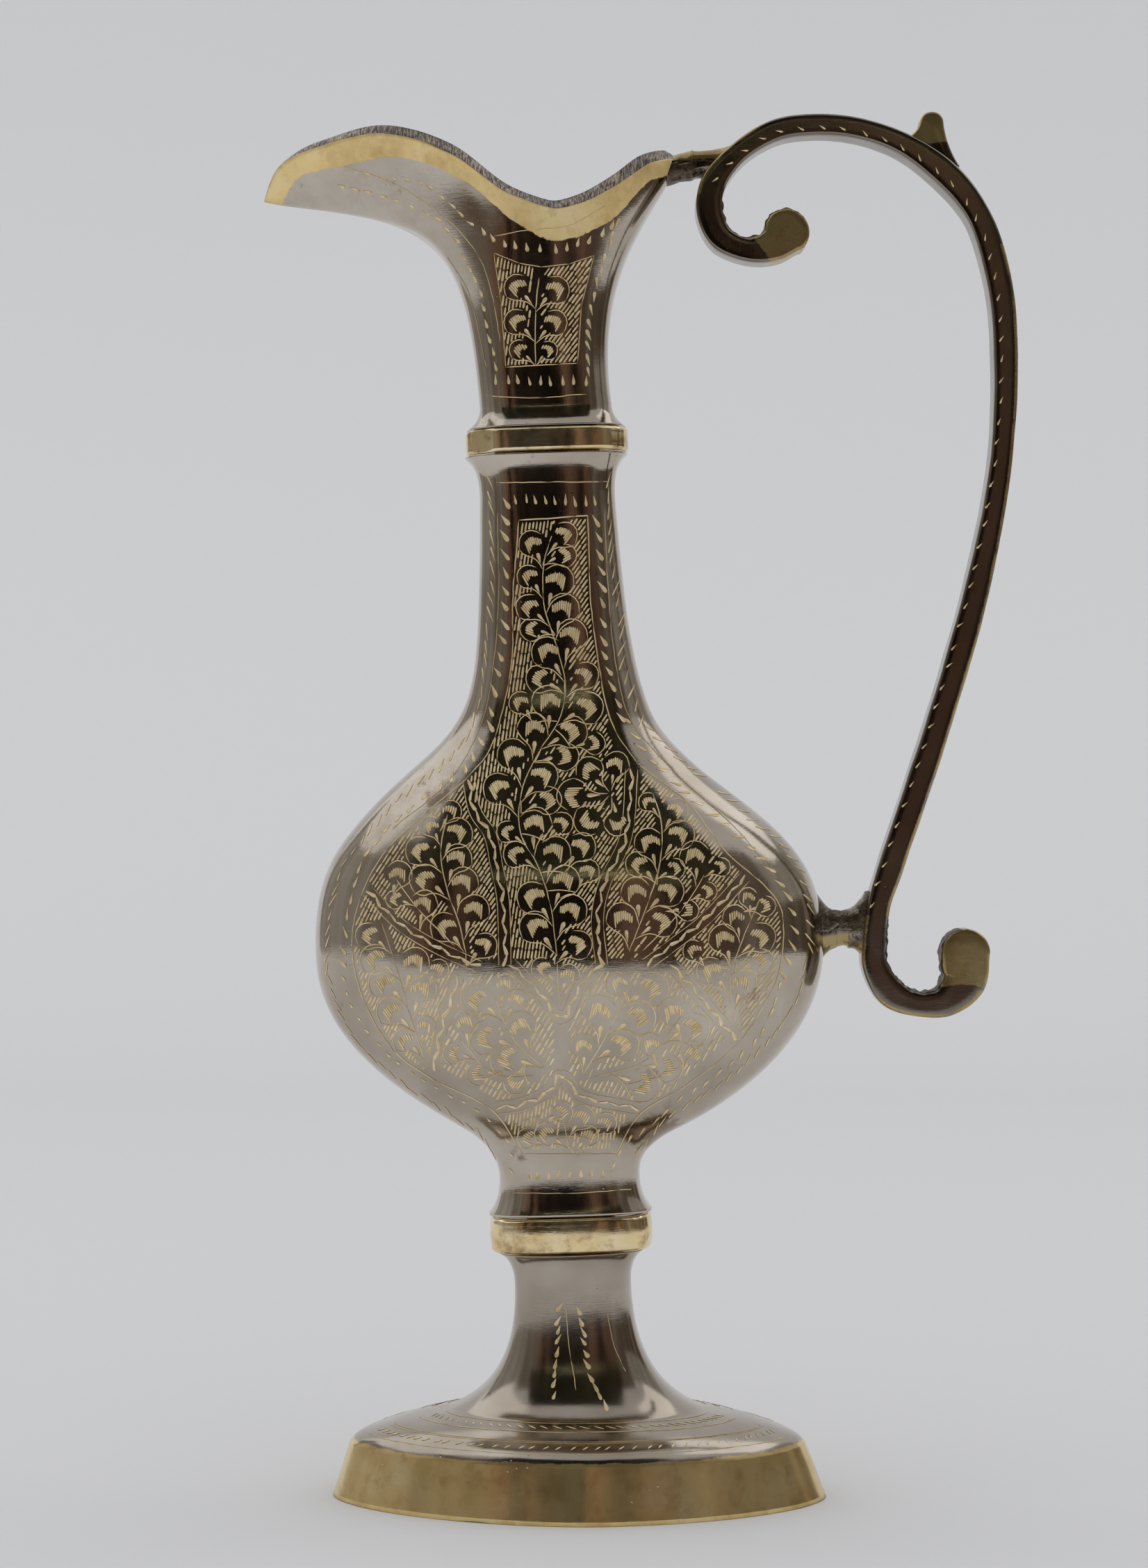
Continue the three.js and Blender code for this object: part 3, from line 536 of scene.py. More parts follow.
def build_spout():
    cove = chain((CAST_W + FLANGE, SPOUT_BASE), (
        (CAST_W + 1.2, SPOUT_BASE + 1), (CAST_W, SPOUT_BASE + 2.2), (CAST_W, SPOUT_WAIST), 14))[:-1]
    rows = profile_stations(
        cove, lambda w: CAST_D + (w - CAST_W) * .6, lambda w: np.full_like(w, NECK_SQUARE))
    rings = [station_ring(*row) for row in rows]
    rings += [cast_ring(i / WALL_STEPS, 0, LIP_BEVEL) for i in range(WALL_STEPS + 1)]
    wall_rows = len(rings)
    # the filed bevel, its two edges slightly broken, then down the inside
    for share in (.05, .15, .35, .6, .85, .96):
        rings.append(cast_ring(1, WALL * share, LIP_BEVEL * (1 - share) - .08 * math.sin(math.pi * share)))
    edge_rows = len(rings)
    rings += [cast_ring(i / INNER_STEPS, WALL, 0) for i in range(INNER_STEPS, 3, -1)]
    rings += bore_rings(UPPER_BORE, SPOUT_BASE + REACH + .3, SPOUT_BASE)
    grid = np.array(rings)
    # hand-filed unevenness of the bevel's lower edge and of the lip
    for row in range(wall_rows - 2, edge_rows):
        share = {wall_rows - 2: .5, wall_rows - 1: 1, wall_rows: .8}.get(row, .45)
        grid[row, :, 2] -= share * (.12 + wobble(grid[row], 4.5, .22, 3))
    # mm along the wall below the bevel, for the bare band, which narrows towards both ends
    below = np.zeros(grid.shape[:2])
    for row in range(wall_rows - 2, -1, -1):
        below[row] = below[row + 1] + np.linalg.norm(grid[row] - grid[row + 1], axis=1)
    x = grid[:, :, 0]
    cover = below - (5.6 + .4 * np.sin(x / 11) - 3.5 * smoothstep(-x, 34, 52) - 2.8 * smoothstep(x, 13, 21))
    cover[wall_rows:edge_rows] = -3
    cover[edge_rows:] = 3
    faces = loft_faces(len(grid))
    colours = [int(wall_rows - 1 <= i // COLUMNS < edge_rows) for i in range(len(faces))]
    return make_piece(
        "lip_casting", to_world(lean(grid.reshape(-1, 3))), faces, [plate_skin, lip_edge], "plating",
        "spout_front", "spout_rear", colours=colours,
        attributes={"cover": cover.reshape(-1), "worn": .8 * smoothstep(-x, 8, 30).reshape(-1)},
    )


lip_casting = build_spout()


# Foot
def foot_profile(steps=30):
    """(half width, height) points up the foot's outline."""
    edge = (FOOT_W - SKIRT_DRAFT - SKIRT_EDGE, SKIRT_H + SKIRT_EDGE)
    low, top = np.array((FOOT_W, 0)), np.array((FOOT_W - SKIRT_DRAFT, SKIRT_H))
    return np.concatenate([[lerp(low, top, s) for s in np.linspace(0, .97, 12)[:-1]], chain(
        lerp(low, top, .97),
        (top, top, edge, 6),
        ((edge[0] - 2.3, edge[1] + 2), (DOME_W + 6, DOME_H - 1), (DOME_W, DOME_H), steps),
        ((lerp(STEM_W, DOME_W, .36), DOME_H + 3.4), (STEM_W, lerp(DOME_H, STEM_WAIST, .44)),
         (STEM_W, STEM_WAIST), steps),
        ((STEM_W, lerp(STEM_WAIST, FOOT_H, .5)), (STEM_W + .8, FOOT_H - 1.1),
         (STEM_W + FLANGE + .5, FOOT_H), 14),
    )])


def foot_spread(half_width):
    return (half_width - STEM_W) / (FOOT_W - STEM_W)


def foot_depth(half_width):
    return lerp(STEM_D, FOOT_D, foot_spread(half_width))


def foot_shape(half_width):
    return lerp(STEM_SQUARE, POINTED, np.sqrt(np.maximum(foot_spread(half_width), 0)))


def lean_ring(ring, z):
    """The foot stands level, and its stem takes up the lean."""
    centre = lean(np.array([0.0, 0.0, z]))
    return lean(ring * [1, 1, 0], float(smoothstep(z, DOME_H, STEM_WAIST))) + centre


def build_foot():
    profile = foot_profile()
    bore_bottom = FOOT_H - REACH - .3
    inner = profile_stations(foot_profile(8), foot_depth, foot_shape, WALL)
    inner = inner[(inner[:, 0] < bore_bottom - 1) & (inner[:, 1] > LOWER_BORE[0])]
    inner[0, 0] = 0
    bore = [[z, *LOWER_BORE, NECK_SQUARE] for z in (FOOT_H, bore_bottom)]
    rows = np.concatenate([profile_stations(profile, foot_depth, foot_shape), bore, inner[::-1]])
    points = np.concatenate([lean_ring(station_ring(*row), row[0]) for row in rows])
    run = run_along(profile)
    cover = np.full(len(points), -2.0)
    dome = np.argmax(profile[:, 1] >= SKIRT_H + SKIRT_EDGE)
    cover[:len(run) * COLUMNS] = np.repeat(run - run[dome] + .5, COLUMNS)
    # the skirt's lower edge is nicked and stands on its lowest points
    low = np.isclose(points[:, 2], 0)
    points[low, 2] += np.maximum(0, wobble(points[low], 5, .35, 9) - .05)
    return make_piece(
        "foot_casting", to_world(points), loft_faces(len(rows)), plate_foot_painted_shade, "plating", "foot",
        attributes={"cover": cover},
    )


foot_casting = build_foot()


# Collars
FACET_ANGLE = math.radians(42)


def build_collar(name, node, base, height, bore, bulge, facet):
    """A ring whose face draws in at the edges by a share, its bulge; facet is the mm off its left corners."""
    def edge(angles, level, way):
        return [(level + way * COLLAR_EDGE * (1 - math.cos(a)), COLLAR_EDGE * (1 - math.sin(a)))
                for a in angles]

    top = base + height
    rows = edge(np.linspace(0, math.pi / 2, 6), base, 1)
    rows += [(z, .03) for z in np.linspace(base + COLLAR_EDGE, top - COLLAR_EDGE, 12)[1:-1]]
    rows += edge(np.linspace(math.pi / 2, 0, 6), top, -1)
    rings = [station_ring(z, COLLAR_W - inset, COLLAR_D - inset, COLLAR_SQUARE) for z, inset in rows]
    rings += bore_rings(bore, top, base)
    points = np.concatenate(rings)
    outer = points[:len(rows) * COLUMNS]
    level = (outer[:, 2] - base - height / 2) / (height / 2)
    outer[:, :2] *= (1 - bulge * level ** 2 - .0035 * (1 + wobble(outer, 6, 1.6, 5)))[:, None]
    for side in (-1, 1):
        across = np.array([-math.sin(FACET_ANGLE), side * math.cos(FACET_ANGLE)])
        reach = outer[:, :2] @ across
        over = reach - reach.max() + facet
        outer[:, :2] -= (over + np.sqrt(over ** 2 + .04))[:, None] / 2 * across * (facet > 0)
    make_piece(name, to_world(lean(points)), loft_faces(len(rings)), collar_brass, "bare_brass", node)


build_collar("foot_collar", "lower_collar", *LOWER_COLLAR, LOWER_BORE, .022, 0)
build_collar("neck_collar", "upper_collar", *UPPER_COLLAR, UPPER_BORE, .003, .85)
for node in ("lower_ferrule", "upper_ferrule", "body_floor"):
    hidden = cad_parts[node].data.materials
    hidden.clear()
    hidden.append(sleeve_brass)


# Handle
# the bow as (share of its width, share of its height, mm added to the half width)
BOW = [(.013, .936, .35), (.105, .971, 0), (.232, .995, 0), (.366, 1, 0), (.5, .995, 0),
       (.653, .9765, .1), (.8, .9405, .5), (.917, .888, .3), (.984, .809, .35), (1, .729, .3),
       (.971, .59, .1), (.868, .4315, .35), (.72, .273, .4), (.55, .114, .35), (.504, .0675, .2)]
BOW_LEFT = UPPER_SCROLL[0] - UPPER_SCROLL[2]
STRAP_ROWS, STRAP_CORNER = 820, .62
# columns of the strap's front corner that faces outward, along the bow and then in the lower scroll
BOW_CORNER, SCROLL_CORNER = slice(0, 5), slice(24, 29)
# the thumb piece's rise over the bow, its half width, and the height from which it is worn bare
THUMB_RISE, THUMB_HALF, THUMB_BARE = 8.49, 2.1, 241.9


def on_bow(across, up):
    return lerp(BOW_LEFT, HANDLE_REACH, across), lerp(LOWER_SCROLL[1], HANDLE_TOP, up)


def polar(x, z, radius, degrees, half_width, share=1.0):
    a = math.radians(degrees)
    return x + share * radius * math.cos(a), z + share * radius * math.sin(a), half_width


def strap_points():
    """The strap's (x, z, half width) from the upper scroll's end to the lower one's."""
    upper = [(-36, UPPER_BULB), (-62, UPPER_BULB * .72), (-95, STRAP_W + .2), (-140, STRAP_W + .3, 1.03),
             (-180, STRAP_W + .45, 1.05)]
    lower = [(158, STRAP_W + .3, 1.14), (185, STRAP_W + .4, 1.06), (225, STRAP_W + .7), (265, STRAP_W + .2),
             (298, STRAP_W + .8, 1.06), (332, LOWER_BULB * .88, 1.06), (368, LOWER_BULB)]
    bow = [(*on_bow(across, up), STRAP_W + more) for across, up, more in BOW]
    upper, lower = ([polar(*scroll, *row) for row in rows]
                    for scroll, rows in ((UPPER_SCROLL, upper), (LOWER_SCROLL, lower)))
    return np.array(upper + bow + lower)


def centripetal(points, per_span=60):
    """Centripetal Catmull-Rom curve through rows of numbers, as in the CAD source."""
    rows = np.concatenate([[2 * points[0] - points[1]], points, [2 * points[-1] - points[-2]]])
    out = []
    for p0, p1, p2, p3 in zip(rows, rows[1:], rows[2:], rows[3:]):
        d0, d1, d2 = (np.linalg.norm(b - a) ** .5 for a, b in ((p0, p1), (p1, p2), (p2, p3)))
        t1 = ((p1 - p0) / d0 - (p2 - p0) / (d0 + d1) + (p2 - p1) / d1) * d1
        t2 = ((p2 - p1) / d1 - (p3 - p1) / (d1 + d2) + (p3 - p2) / d2) * d1
        t = np.linspace(0, 1, per_span, endpoint=False)[:, None]
        out.append(p1 + t1 * t + (3 * (p2 - p1) - 2 * t1 - t2) * t ** 2 + (2 * (p1 - p2) + t1 + t2) * t ** 3)
    return np.concatenate(out + [points[-1:]])


STRAP = even_rows(centripetal(strap_points()), STRAP_ROWS, 2)
STRAP_ALONG = unit(np.gradient(STRAP[:, :2], axis=0))


def strap_section(half_width, half_depth):
    """Rounded oblong as (across, y) pairs, with a fixed number of points."""
    corner = min(STRAP_CORNER, half_width * .9)
    x, y = half_width - corner, half_depth - corner
    centres = [(x, -y), (x, y), (-x, y), (-x, -y)]
    pairs = []
    for k, (cx, cy) in enumerate(centres):
        for step in range(5):
            a = math.radians(-90 + 90 * k + 22.5 * step)
            pairs.append((cx + corner * math.cos(a), cy + corner * math.sin(a)))
        a = math.radians(90 * k)
        cx, cy = centres[(k + 1) % 4]
        (x0, y0), (x1, y1) = pairs[-1], (cx + corner * math.cos(a), cy + corner * math.sin(a))
        pairs += [(lerp(x0, x1, share), lerp(y0, y1, share)) for share in (.25, .5, .75)]
    return np.array(pairs)


def strap_mesh():
    """The strap's rings, with a round cap at both ends."""
    rows = [(x, z, w, STRAP_D, along) for (x, z, w), along in zip(STRAP, STRAP_ALONG)]
    for at, sign in ((0, -1), (-1, 1)):
        x, z, w = STRAP[at]
        along = STRAP_ALONG[at]
        cap = []
        for a in np.linspace(0, math.pi / 2, 14)[1:]:
            px, pz = np.array([x, z]) + sign * along * w * math.sin(a)
            cap.append((px, pz, max(w * math.cos(a), .03), STRAP_D - .5 * math.sin(a) ** 6, along))
        rows = cap[::-1] + rows if sign < 0 else rows + cap
    rings = []
    for x, z, w, d, along in rows:
        across, y = strap_section(w, d).T
        rings.append(np.stack([x - along[1] * across, y, z + along[0] * across], -1))
    return np.array(rings)


def build_handle():
    grid = strap_mesh()
    rows, columns, _ = grid.shape
    points = grid.reshape(-1, 3)
    x, y, z = points.T
    # bare metal at the ends of both scrolls, and rough solder left inside the scrolls
    cover = np.full(len(points), ALL_PLATED)
    upper_end = (x > 36) & (z < 233) & (x < 52)
    cover[upper_end] = -((x - 38.75) * .83 + (z - 225.3) * .558)[upper_end]
    lower_end = (x > 66) & (z < 106)
    cover[lower_end] = (90.3 - z)[lower_end]
    # the outer front edge is rubbed down to brass here and there
    scroll = next(i for i in range(rows // 2, rows) if grid[i, 0, 2] < LUG_LEVEL + 2)
    rubbed = np.zeros((rows, columns), bool)
    rubbed[int(.36 * rows):scroll, BOW_CORNER] = True
    rubbed[int(.10 * rows):int(.16 * rows), BOW_CORNER] = True
    rubbed[scroll:, SCROLL_CORNER] = True
    rubbed = rubbed.reshape(-1)
    cover[rubbed] = np.minimum(cover, -.25 + 2.4 * np.abs(wobble(points, 9, .25, 12)))[rubbed]
    centre = np.repeat(grid.mean(axis=1)[:, None], columns, axis=1).reshape(-1, 3)
    solder = np.zeros(len(points))
    for (cx, cz, radius), reach, top in ((UPPER_SCROLL, 1.25, 1.5), (LOWER_SCROLL, 1.2, 20)):
        to_centre = np.hypot(x - cx, z - cz)
        inside = np.hypot(centre[:, 0] - cx, centre[:, 2] - cz) - to_centre
        near = (to_centre < radius * reach) & (z < cz + top) & (np.abs(y) < STRAP_D - .25)
        solder = np.maximum(solder, np.where(near & (inside > .6), .75, 0))
    lumps = solder * (np.abs(wobble(points, 1.7, .9, 2)) + wobble(points, .7, .16, 8) + .02)
    toward = centre - points
    toward[:, 1] = 0
    toward /= np.maximum(np.linalg.norm(toward, axis=1), 1e-6)[:, None]
    push = .05 + wobble(points, 7, .10, 6) + wobble(points, 1.5, .02, 7) - lumps
    # the strap takes the darker copy of the plating, a painted shade
    return make_piece(
        "strap_handle", to_world(lean(points + toward * push[:, None])), capped_faces(rows, columns),
        plate_strap_painted_shade, "plating", "handle", attributes={"cover": cover, "solder": solder},
    )


strap_handle = build_handle()


def thumb_outline(count=90):
    """The thumb piece seen from the front: a small upright horn on the bow's shoulder."""
    x, base = on_bow(.77, .955)
    top = base + THUMB_RISE
    left, right = x - THUMB_HALF, x + THUMB_HALF
    path = [(left - 3.4, base + 3.6)]
    for handle, end in (
        ((left - .5, lerp(base, top, .53)), (left + .1, top - 1.4)),
        ((left + .5, top), (x, top)),
        ((right - .2, top), (right, top - 1.8)),
        ((right + .2, lerp(base, top, .3)), (right + 2.7, base - 1.5)),
    ):
        start, handle, end = (np.array(place) for place in (path[-1], handle, end))
        for t in np.linspace(0, 1, 13)[1:]:
            path.append((1 - t) ** 2 * start + 2 * t * (1 - t) * handle + t * t * end)
    path += [(right + 1.2, base - 3), (left - 3.4, base + 2.4), (left - 3.4, base + 3.6)]
    return even_rows(np.array(path), count + 1)[:-1]


def build_thumb():
    outline = thumb_outline()
    along = unit(np.roll(outline, -1, 0) - np.roll(outline, 1, 0))
    inward = np.stack([along[:, 1], -along[:, 0]], -1)
    half, edge = STRAP_D - .6, .5
    rounding = [(edge * (1 - math.sin(a)), edge * (1 - math.cos(a))) for a in (.5, 1.0)]
    levels = [(-half, edge)] + [(-half + y, inset) for y, inset in rounding[::-1]]
    levels += [(y, 0) for y in (-half + edge, -1, 1, half - edge)]
    levels += [(half - y, inset) for y, inset in rounding] + [(half, edge)]
    rings = []
    for y, inset in levels:
        x, z = (outline + inward * inset).T
        rings.append(np.stack([x, np.full_like(x, y), z], -1))
    points = np.concatenate(rings)
    # the thumb piece takes the strap's darker plating, a painted shade
    make_piece(
        "thumb_piece", to_world(lean(points)), capped_faces(len(levels), len(outline), True), plate_strap_painted_shade,
        "plating", attributes={"cover": THUMB_BARE - points[:, 2], "solder": np.zeros(len(points))},
    )


build_thumb()


# Lugs and brazes
STUB_COLUMNS, STUB_ROWS, STUB_SQUARE = 44, 34, 2.9


def strap_x(height, low, high):
    """X of the strap's centreline at a height, between two shares of its length."""
    part = STRAP[int(low * len(STRAP)):int(high * len(STRAP))]
    return float(part[np.argmin(np.abs(part[:, 1] - height)), 0])


def build_stub(name, sections, slot, node, cover_of, solder_and_shade_of, rough, seed):
    """Rounded bridge along X through rows of (x, height, depth, level), with lumpy hand-made faces."""
    sections = np.array(sections, float)
    run, want = np.linspace(0, 1, len(sections)), np.linspace(0, 1, STUB_ROWS)
    x, height, depth, level = (np.interp(want, run, column)[:, None] for column in sections.T)
    ux, uy = oval_unit(np.linspace(0, 2 * np.pi, STUB_COLUMNS, endpoint=False), STUB_SQUARE)
    flat = np.zeros((STUB_ROWS, STUB_COLUMNS))
    points = np.stack([x + flat, uy * depth / 2, level + ux * height / 2], -1).reshape(-1, 3)
    outward = unit(points - np.stack([x + flat, flat, level + flat], -1).reshape(-1, 3))
    push = -.08 + wobble(points, 3.2, rough, seed) + wobble(points, 1.1, rough * .4, seed + 4)
    points = points + outward * push[:, None]
    x, z = points[:, 0], points[:, 2]
    # the lugs and brazes take the strap's darker plating, a painted shade
    make_piece(
        name, to_world(lean(points)), capped_faces(STUB_ROWS, STUB_COLUMNS, x[-1] > x[0]), plate_strap_painted_shade, slot,
        node, attributes={"cover": cover_of(z), "solder": solder_and_shade_of(x, z)},
    )


RIM_LEVEL = SADDLE + CORNER_RISE - .2 - 4.9 / 2
RIM_END = CORNER + 2.2
RIM_EDGE = strap_x(RIM_LEVEL, .05, .2) - STRAP_W
BELLY_X = BELLY_W + float(smooth_value(SWAY, LUG_LEVEL - BODY_BASE))
BELLY_BRAZE_END = BELLY_X + 2.2
STRAP_X = strap_x(LUG_LEVEL, .6, .9)
STRAP_BRAZE = STRAP_X - STRAP_W - 2.5

build_stub(
    "rim_solder",
    [(RIM_END - 5.2, 4.9, 6.2, RIM_LEVEL - 1.6), (RIM_END - 2, 5.2, 6.3, RIM_LEVEL - .5),
     (RIM_END + .15, 5.4, 6.4, RIM_LEVEL - .2)],
    "solder", "rim_braze", lambda z: RIM_LEVEL + .4 - z, lambda x, z: .62 - .5 * (z > RIM_LEVEL),
    rough=.3, seed=11,
)
build_stub(
    "rim_bridge",
    [(RIM_END, 5.4, 6.3, RIM_LEVEL - .2), (RIM_END + .8, 4.7, 6.0, RIM_LEVEL - .1),
     (RIM_EDGE - 2.4, 4.7, 6.2, RIM_LEVEL - .05), (RIM_EDGE - .8, 5.4, 6.7, RIM_LEVEL - .2),
     (RIM_EDGE + .5, 6.5, 6.6, RIM_LEVEL - .55), (RIM_EDGE + 1.8, 6.1, 6.6, RIM_LEVEL + .05),
     (RIM_EDGE + 3.1, 4.8, 6.6, RIM_LEVEL + 1.2)],
    "plating", "rim_lug", lambda z: RIM_LEVEL + .4 - z,
    lambda x, z: .45 * (z < RIM_LEVEL - 1.3) * (x < RIM_END + 2.5), rough=.16, seed=15,
)


def fillet(lug_x, wall_x, wall_height, wall_depth, bury):
    """Sections of a braze that widens from a lug to a wall and runs on into the wall."""
    rows = [(lerp(lug_x, wall_x, s), lerp(7, wall_height, s ** 2), lerp(6.4, wall_depth, s ** 2), LUG_LEVEL)
            for s in (0, .2, .4, .6, .8, 1)]
    return rows + [(rows[-1][0] + bury, *rows[-1][1:])]


build_stub(
    "belly_solder", fillet(BELLY_BRAZE_END + .2, BELLY_X - 1, 13.6, 8.6, -1), "solder", "belly_braze",
    lambda z: z - LUG_LEVEL + 1.2, lambda x, z: .5 - .45 * (np.abs(z - LUG_LEVEL + 2) < 1.3),
    rough=.3, seed=21,
)
# the belly lug's upper half is laid in dark solder colour, a painted shade; its underside is bare brass
build_stub(
    "belly_bridge",
    [(BELLY_BRAZE_END, 7, 6.4, LUG_LEVEL), (lerp(BELLY_BRAZE_END, STRAP_BRAZE, .5), 6.5, 6.1, LUG_LEVEL),
     (STRAP_BRAZE + .1, 7, 6.4, LUG_LEVEL)],
    "bare_brass", "belly_lug", lambda z: z - LUG_LEVEL + .9, lambda x, z: .5 * (z > LUG_LEVEL - .4),
    rough=.2, seed=25,
)
build_stub(
    "strap_solder", fillet(STRAP_BRAZE - .5, STRAP_X - STRAP_W + .5, 13.6, 6.2, 1.1), "solder", "strap_braze",
    lambda z: z - LUG_LEVEL + 2.2, lambda x, z: .45 + .2 * (np.abs(z - LUG_LEVEL - 1) < 1.5),
    rough=.25, seed=29,
)


# Chiselled ornament
# Places are (across, up) in mm on the leaning axis, in the upright plane through it, as the camera sees them.
CAMERA = Vector((-10.86, -620, 128.6)) * MM
# heights of a cut's edges, middle and hidden underside over the metal
BURR, VALLEY, KEEL = .055, .008, -.06
CELLS = 16                                 # the cuts' map has this many cells each way, one tone in each
CELL_EDGE, CELL_SPAN = .15, .7             # the part of a cell that a cut is laid on
# a cut's share of its width at each share of its length
SHAPES = {
    "line": ((0, .25), (.12, 1), (.88, 1), (1, .25)),
    "drop": ((0, .08), (.35, .5), (.72, 1), (.92, .8), (1, .25)),
    "chisel": ((0, .5), (.12, 1), (.55, .8), (1, .12)),
    "step": ((0, .35), (.3, .8), (.85, 1.1), (1, .5)),
    "gouge": ((0, .55), (.14, 1), (.8, .95), (1, .4)),
}
CUT_METALLIC = .6                          # burred cuts scatter part of the light like a matt surface
cuts_random = random.Random(SEED)


def cut_metal():
    """Fresh-cut brass, toned cut by cut through the map that every cut is laid on."""
    n = material_nodes("cut_brass")
    uv = n.add("UVMap", "UV", uv_map="OFBake")
    grain = n.noise(1 / 260, 2, .5, uv)
    tone = n.total(n.spread(n.noise(1 / 23, 2, .5, uv), .3, .7), n.spread(grain, .3, .7, -.12, .12))
    colour = n.ramp(tone, (.1, (.62, .46, .22)), (.5, (.82, .65, .36)), (.9, (.93, .80, .54)))
    return n.finish(colour, n.spread(tone, 0, 1, .5, .36), n.bump((grain, .01)), CUT_METALLIC)


cut_brass = cut_metal()


class Cuts:
    """Chisel cuts on one face of one piece: closed slivers whose burred edges stand just over the metal."""

    def __init__(self, under, side):
        mesh = under.data
        corners = [vertex.co.copy() for vertex in mesh.vertices]
        self.tree = BVHTree.FromPolygons(corners, [face.vertices[:] for face in mesh.polygons])
        self.eye = Vector((CAMERA.x, side * abs(CAMERA.y), CAMERA.z))
        self.points, self.faces, self.map = [], [], []

    def lay(self, x, z):
        """Where the eye's line to a place meets the metal, and the metal's normal there."""
        across, up = x * math.cos(LEAN) - z * math.sin(LEAN) + BASE_X, z * math.cos(LEAN) + x * math.sin(LEAN)
        return self.tree.ray_cast(self.eye, Vector((across, 0, up)) * MM - self.eye)[:2]

    def cut(self, path, width, shape="line", reach=.9):
        """A cut along (across, up) points, widest as its shape says."""
        path = np.asarray(path, float)
        run = run_along(path)
        if run[-1] < .15:
            return
        shares, widths = zip(*SHAPES[shape])
        stops = sorted({*shares, *np.linspace(0, 1, max(2, math.ceil(run[-1] / reach) + 1))})
        stops = [u for i, u in enumerate(stops) if i == 0 or u - stops[i - 1] > .04]
        spots = [self.lay(*(np.interp(u * run[-1], run, column) for column in path.T)) for u in stops]
        if all(place is not None for place, _ in spots):
            self.sliver(spots, [width * np.interp(u, shares, widths) for u in stops])

    def sliver(self, spots, widths):
        """One closed sliver through (place, normal) spots, with its width in mm at each."""
        start, last = len(self.points), len(spots) - 1
        for i, ((place, normal), width) in enumerate(zip(spots, widths)):
            along = (spots[min(i + 1, last)][0] - spots[max(i - 1, 0)][0]).normalized()
            side = normal.cross(along) * (width * MM / 2)
            self.points += [place + side + normal * (BURR * MM), place + normal * (VALLEY * MM),
                            place - side + normal * (BURR * MM), place + normal * (KEEL * MM)]
        cell = cuts_random.randrange(CELLS), cuts_random.randrange(CELLS)

        def on_map(u, v):
            return tuple((at + CELL_EDGE + CELL_SPAN * share) / CELLS for at, share in zip(cell, (u, v)))

        for i in range(last):
            u0, u1 = i / last, (i + 1) / last
            for k, (v0, v1) in enumerate(((0, .5), (.5, 1), (1, .5), (.5, 0))):
                a, b = start + 4 * i + k, start + 4 * i + (k + 1) % 4
                self.faces.append((a, a + 4, b + 4, b))
                self.map += [on_map(u0, v0), on_map(u1, v0), on_map(u1, v1), on_map(u0, v1)]
        for i, order in ((0, (0, 1, 2, 3)), (last, (3, 2, 1, 0))):
            self.faces.append(tuple(start + 4 * i + k for k in order))
            self.map += [on_map(i / last, (0, .5, 1, .5)[k]) for k in order]

    def finish(self, name):
        piece = make_piece(name, self.points, self.faces, cut_brass, "bare_brass", smooth=False)
        layer = piece.data.uv_layers.new(name="OFBake")
        layer.data.foreach_set("uv", np.array(self.map, np.float32).ravel())


def turn(vector, degrees):
    a = math.radians(degrees)
    x, z = vector
    return np.array([x * math.cos(a) - z * math.sin(a), x * math.sin(a) + z * math.cos(a)])


def smooth_path(points, step=.6):
    """Even points along a smooth curve through a few places."""
    rows = centripetal(np.asarray(points, float), 24)
    length = np.linalg.norm(np.diff(rows, axis=0), axis=1).sum()
    return even_rows(rows, max(3, round(length / step) + 1))


def jitter(amount):
    return cuts_random.uniform(-amount, amount)


def tick_row(cuts, places, pitch, length, width, angles, shape="drop"):
    """Separate chisel ticks along a row; the angle from the horizontal goes through the given values."""
    path = smooth_path(places, .2)
    run = run_along(path)
    count = max(2, round(run[-1] / pitch) + 1)
    for i in range(count):
        u = min(max((i + jitter(.16)) / (count - 1), 0), 1)
        centre = [np.interp(u * run[-1], run, column) + jitter(.2) for column in path.T]
        angle = np.interp(u, np.linspace(0, 1, len(angles)), angles) + jitter(9)
        half = turn((length * (1 + jitter(.16)) / 2, 0), angle)
        cuts.cut([centre - half, centre + half], width * (1 + jitter(.15)), shape, .8)


def scribe(cuts, places, width=.16, waver=.12):
    """Thin scribed line in a few long pulls."""
    path = smooth_path(places, 1.1)
    path = path + np.array([[jitter(waver), jitter(waver)] for _ in path]) * .6
    for start in range(0, len(path) - 1, 9):
        cuts.cut(path[start:start + 10], width * (1 + jitter(.2)), "line", 1.3)


# mm from a border to its plain strip, and from a zigzag's middle to the thin lines beside it
BORDER_GAP, WALL_GAP = .3, 1.25
# one leaf on a heading of 1: its scribed edge, and the oval that its head fills
LEAF_EDGE = [(0, 0), (.04, .22), (.14, .40), (.34, .54), (.43, .72), (.37, .95), (.17, 1.12), (-.09, 1.11),
             (-.28, .92)]
HEAD, HEAD_HALF = np.array((.05, .82)), np.array((.38, .30))


def zigzag(cuts, places, width=.5, step=1.9, swing=.3):
    """Walked chisel line: short thick steps that swing from side to side between two thin lines."""
    path = smooth_path(places, step)
    ahead = unit(np.gradient(path, axis=0))
    across = np.stack([-ahead[:, 1], ahead[:, 0]], -1)
    sway = np.where(np.arange(len(path)) % 2, swing, -swing) + [jitter(.14) for _ in path]
    swung = path + across * sway[:, None]
    for a, b in zip(swung, swung[1:]):
        cuts.cut([a, lerp(a, b, .55) + [jitter(.1), jitter(.1)], b], width * (1 + jitter(.3)), "step")
    for side in (-WALL_GAP + .15, WALL_GAP - .15):
        scribe(cuts, path + across * side, .12, .06)


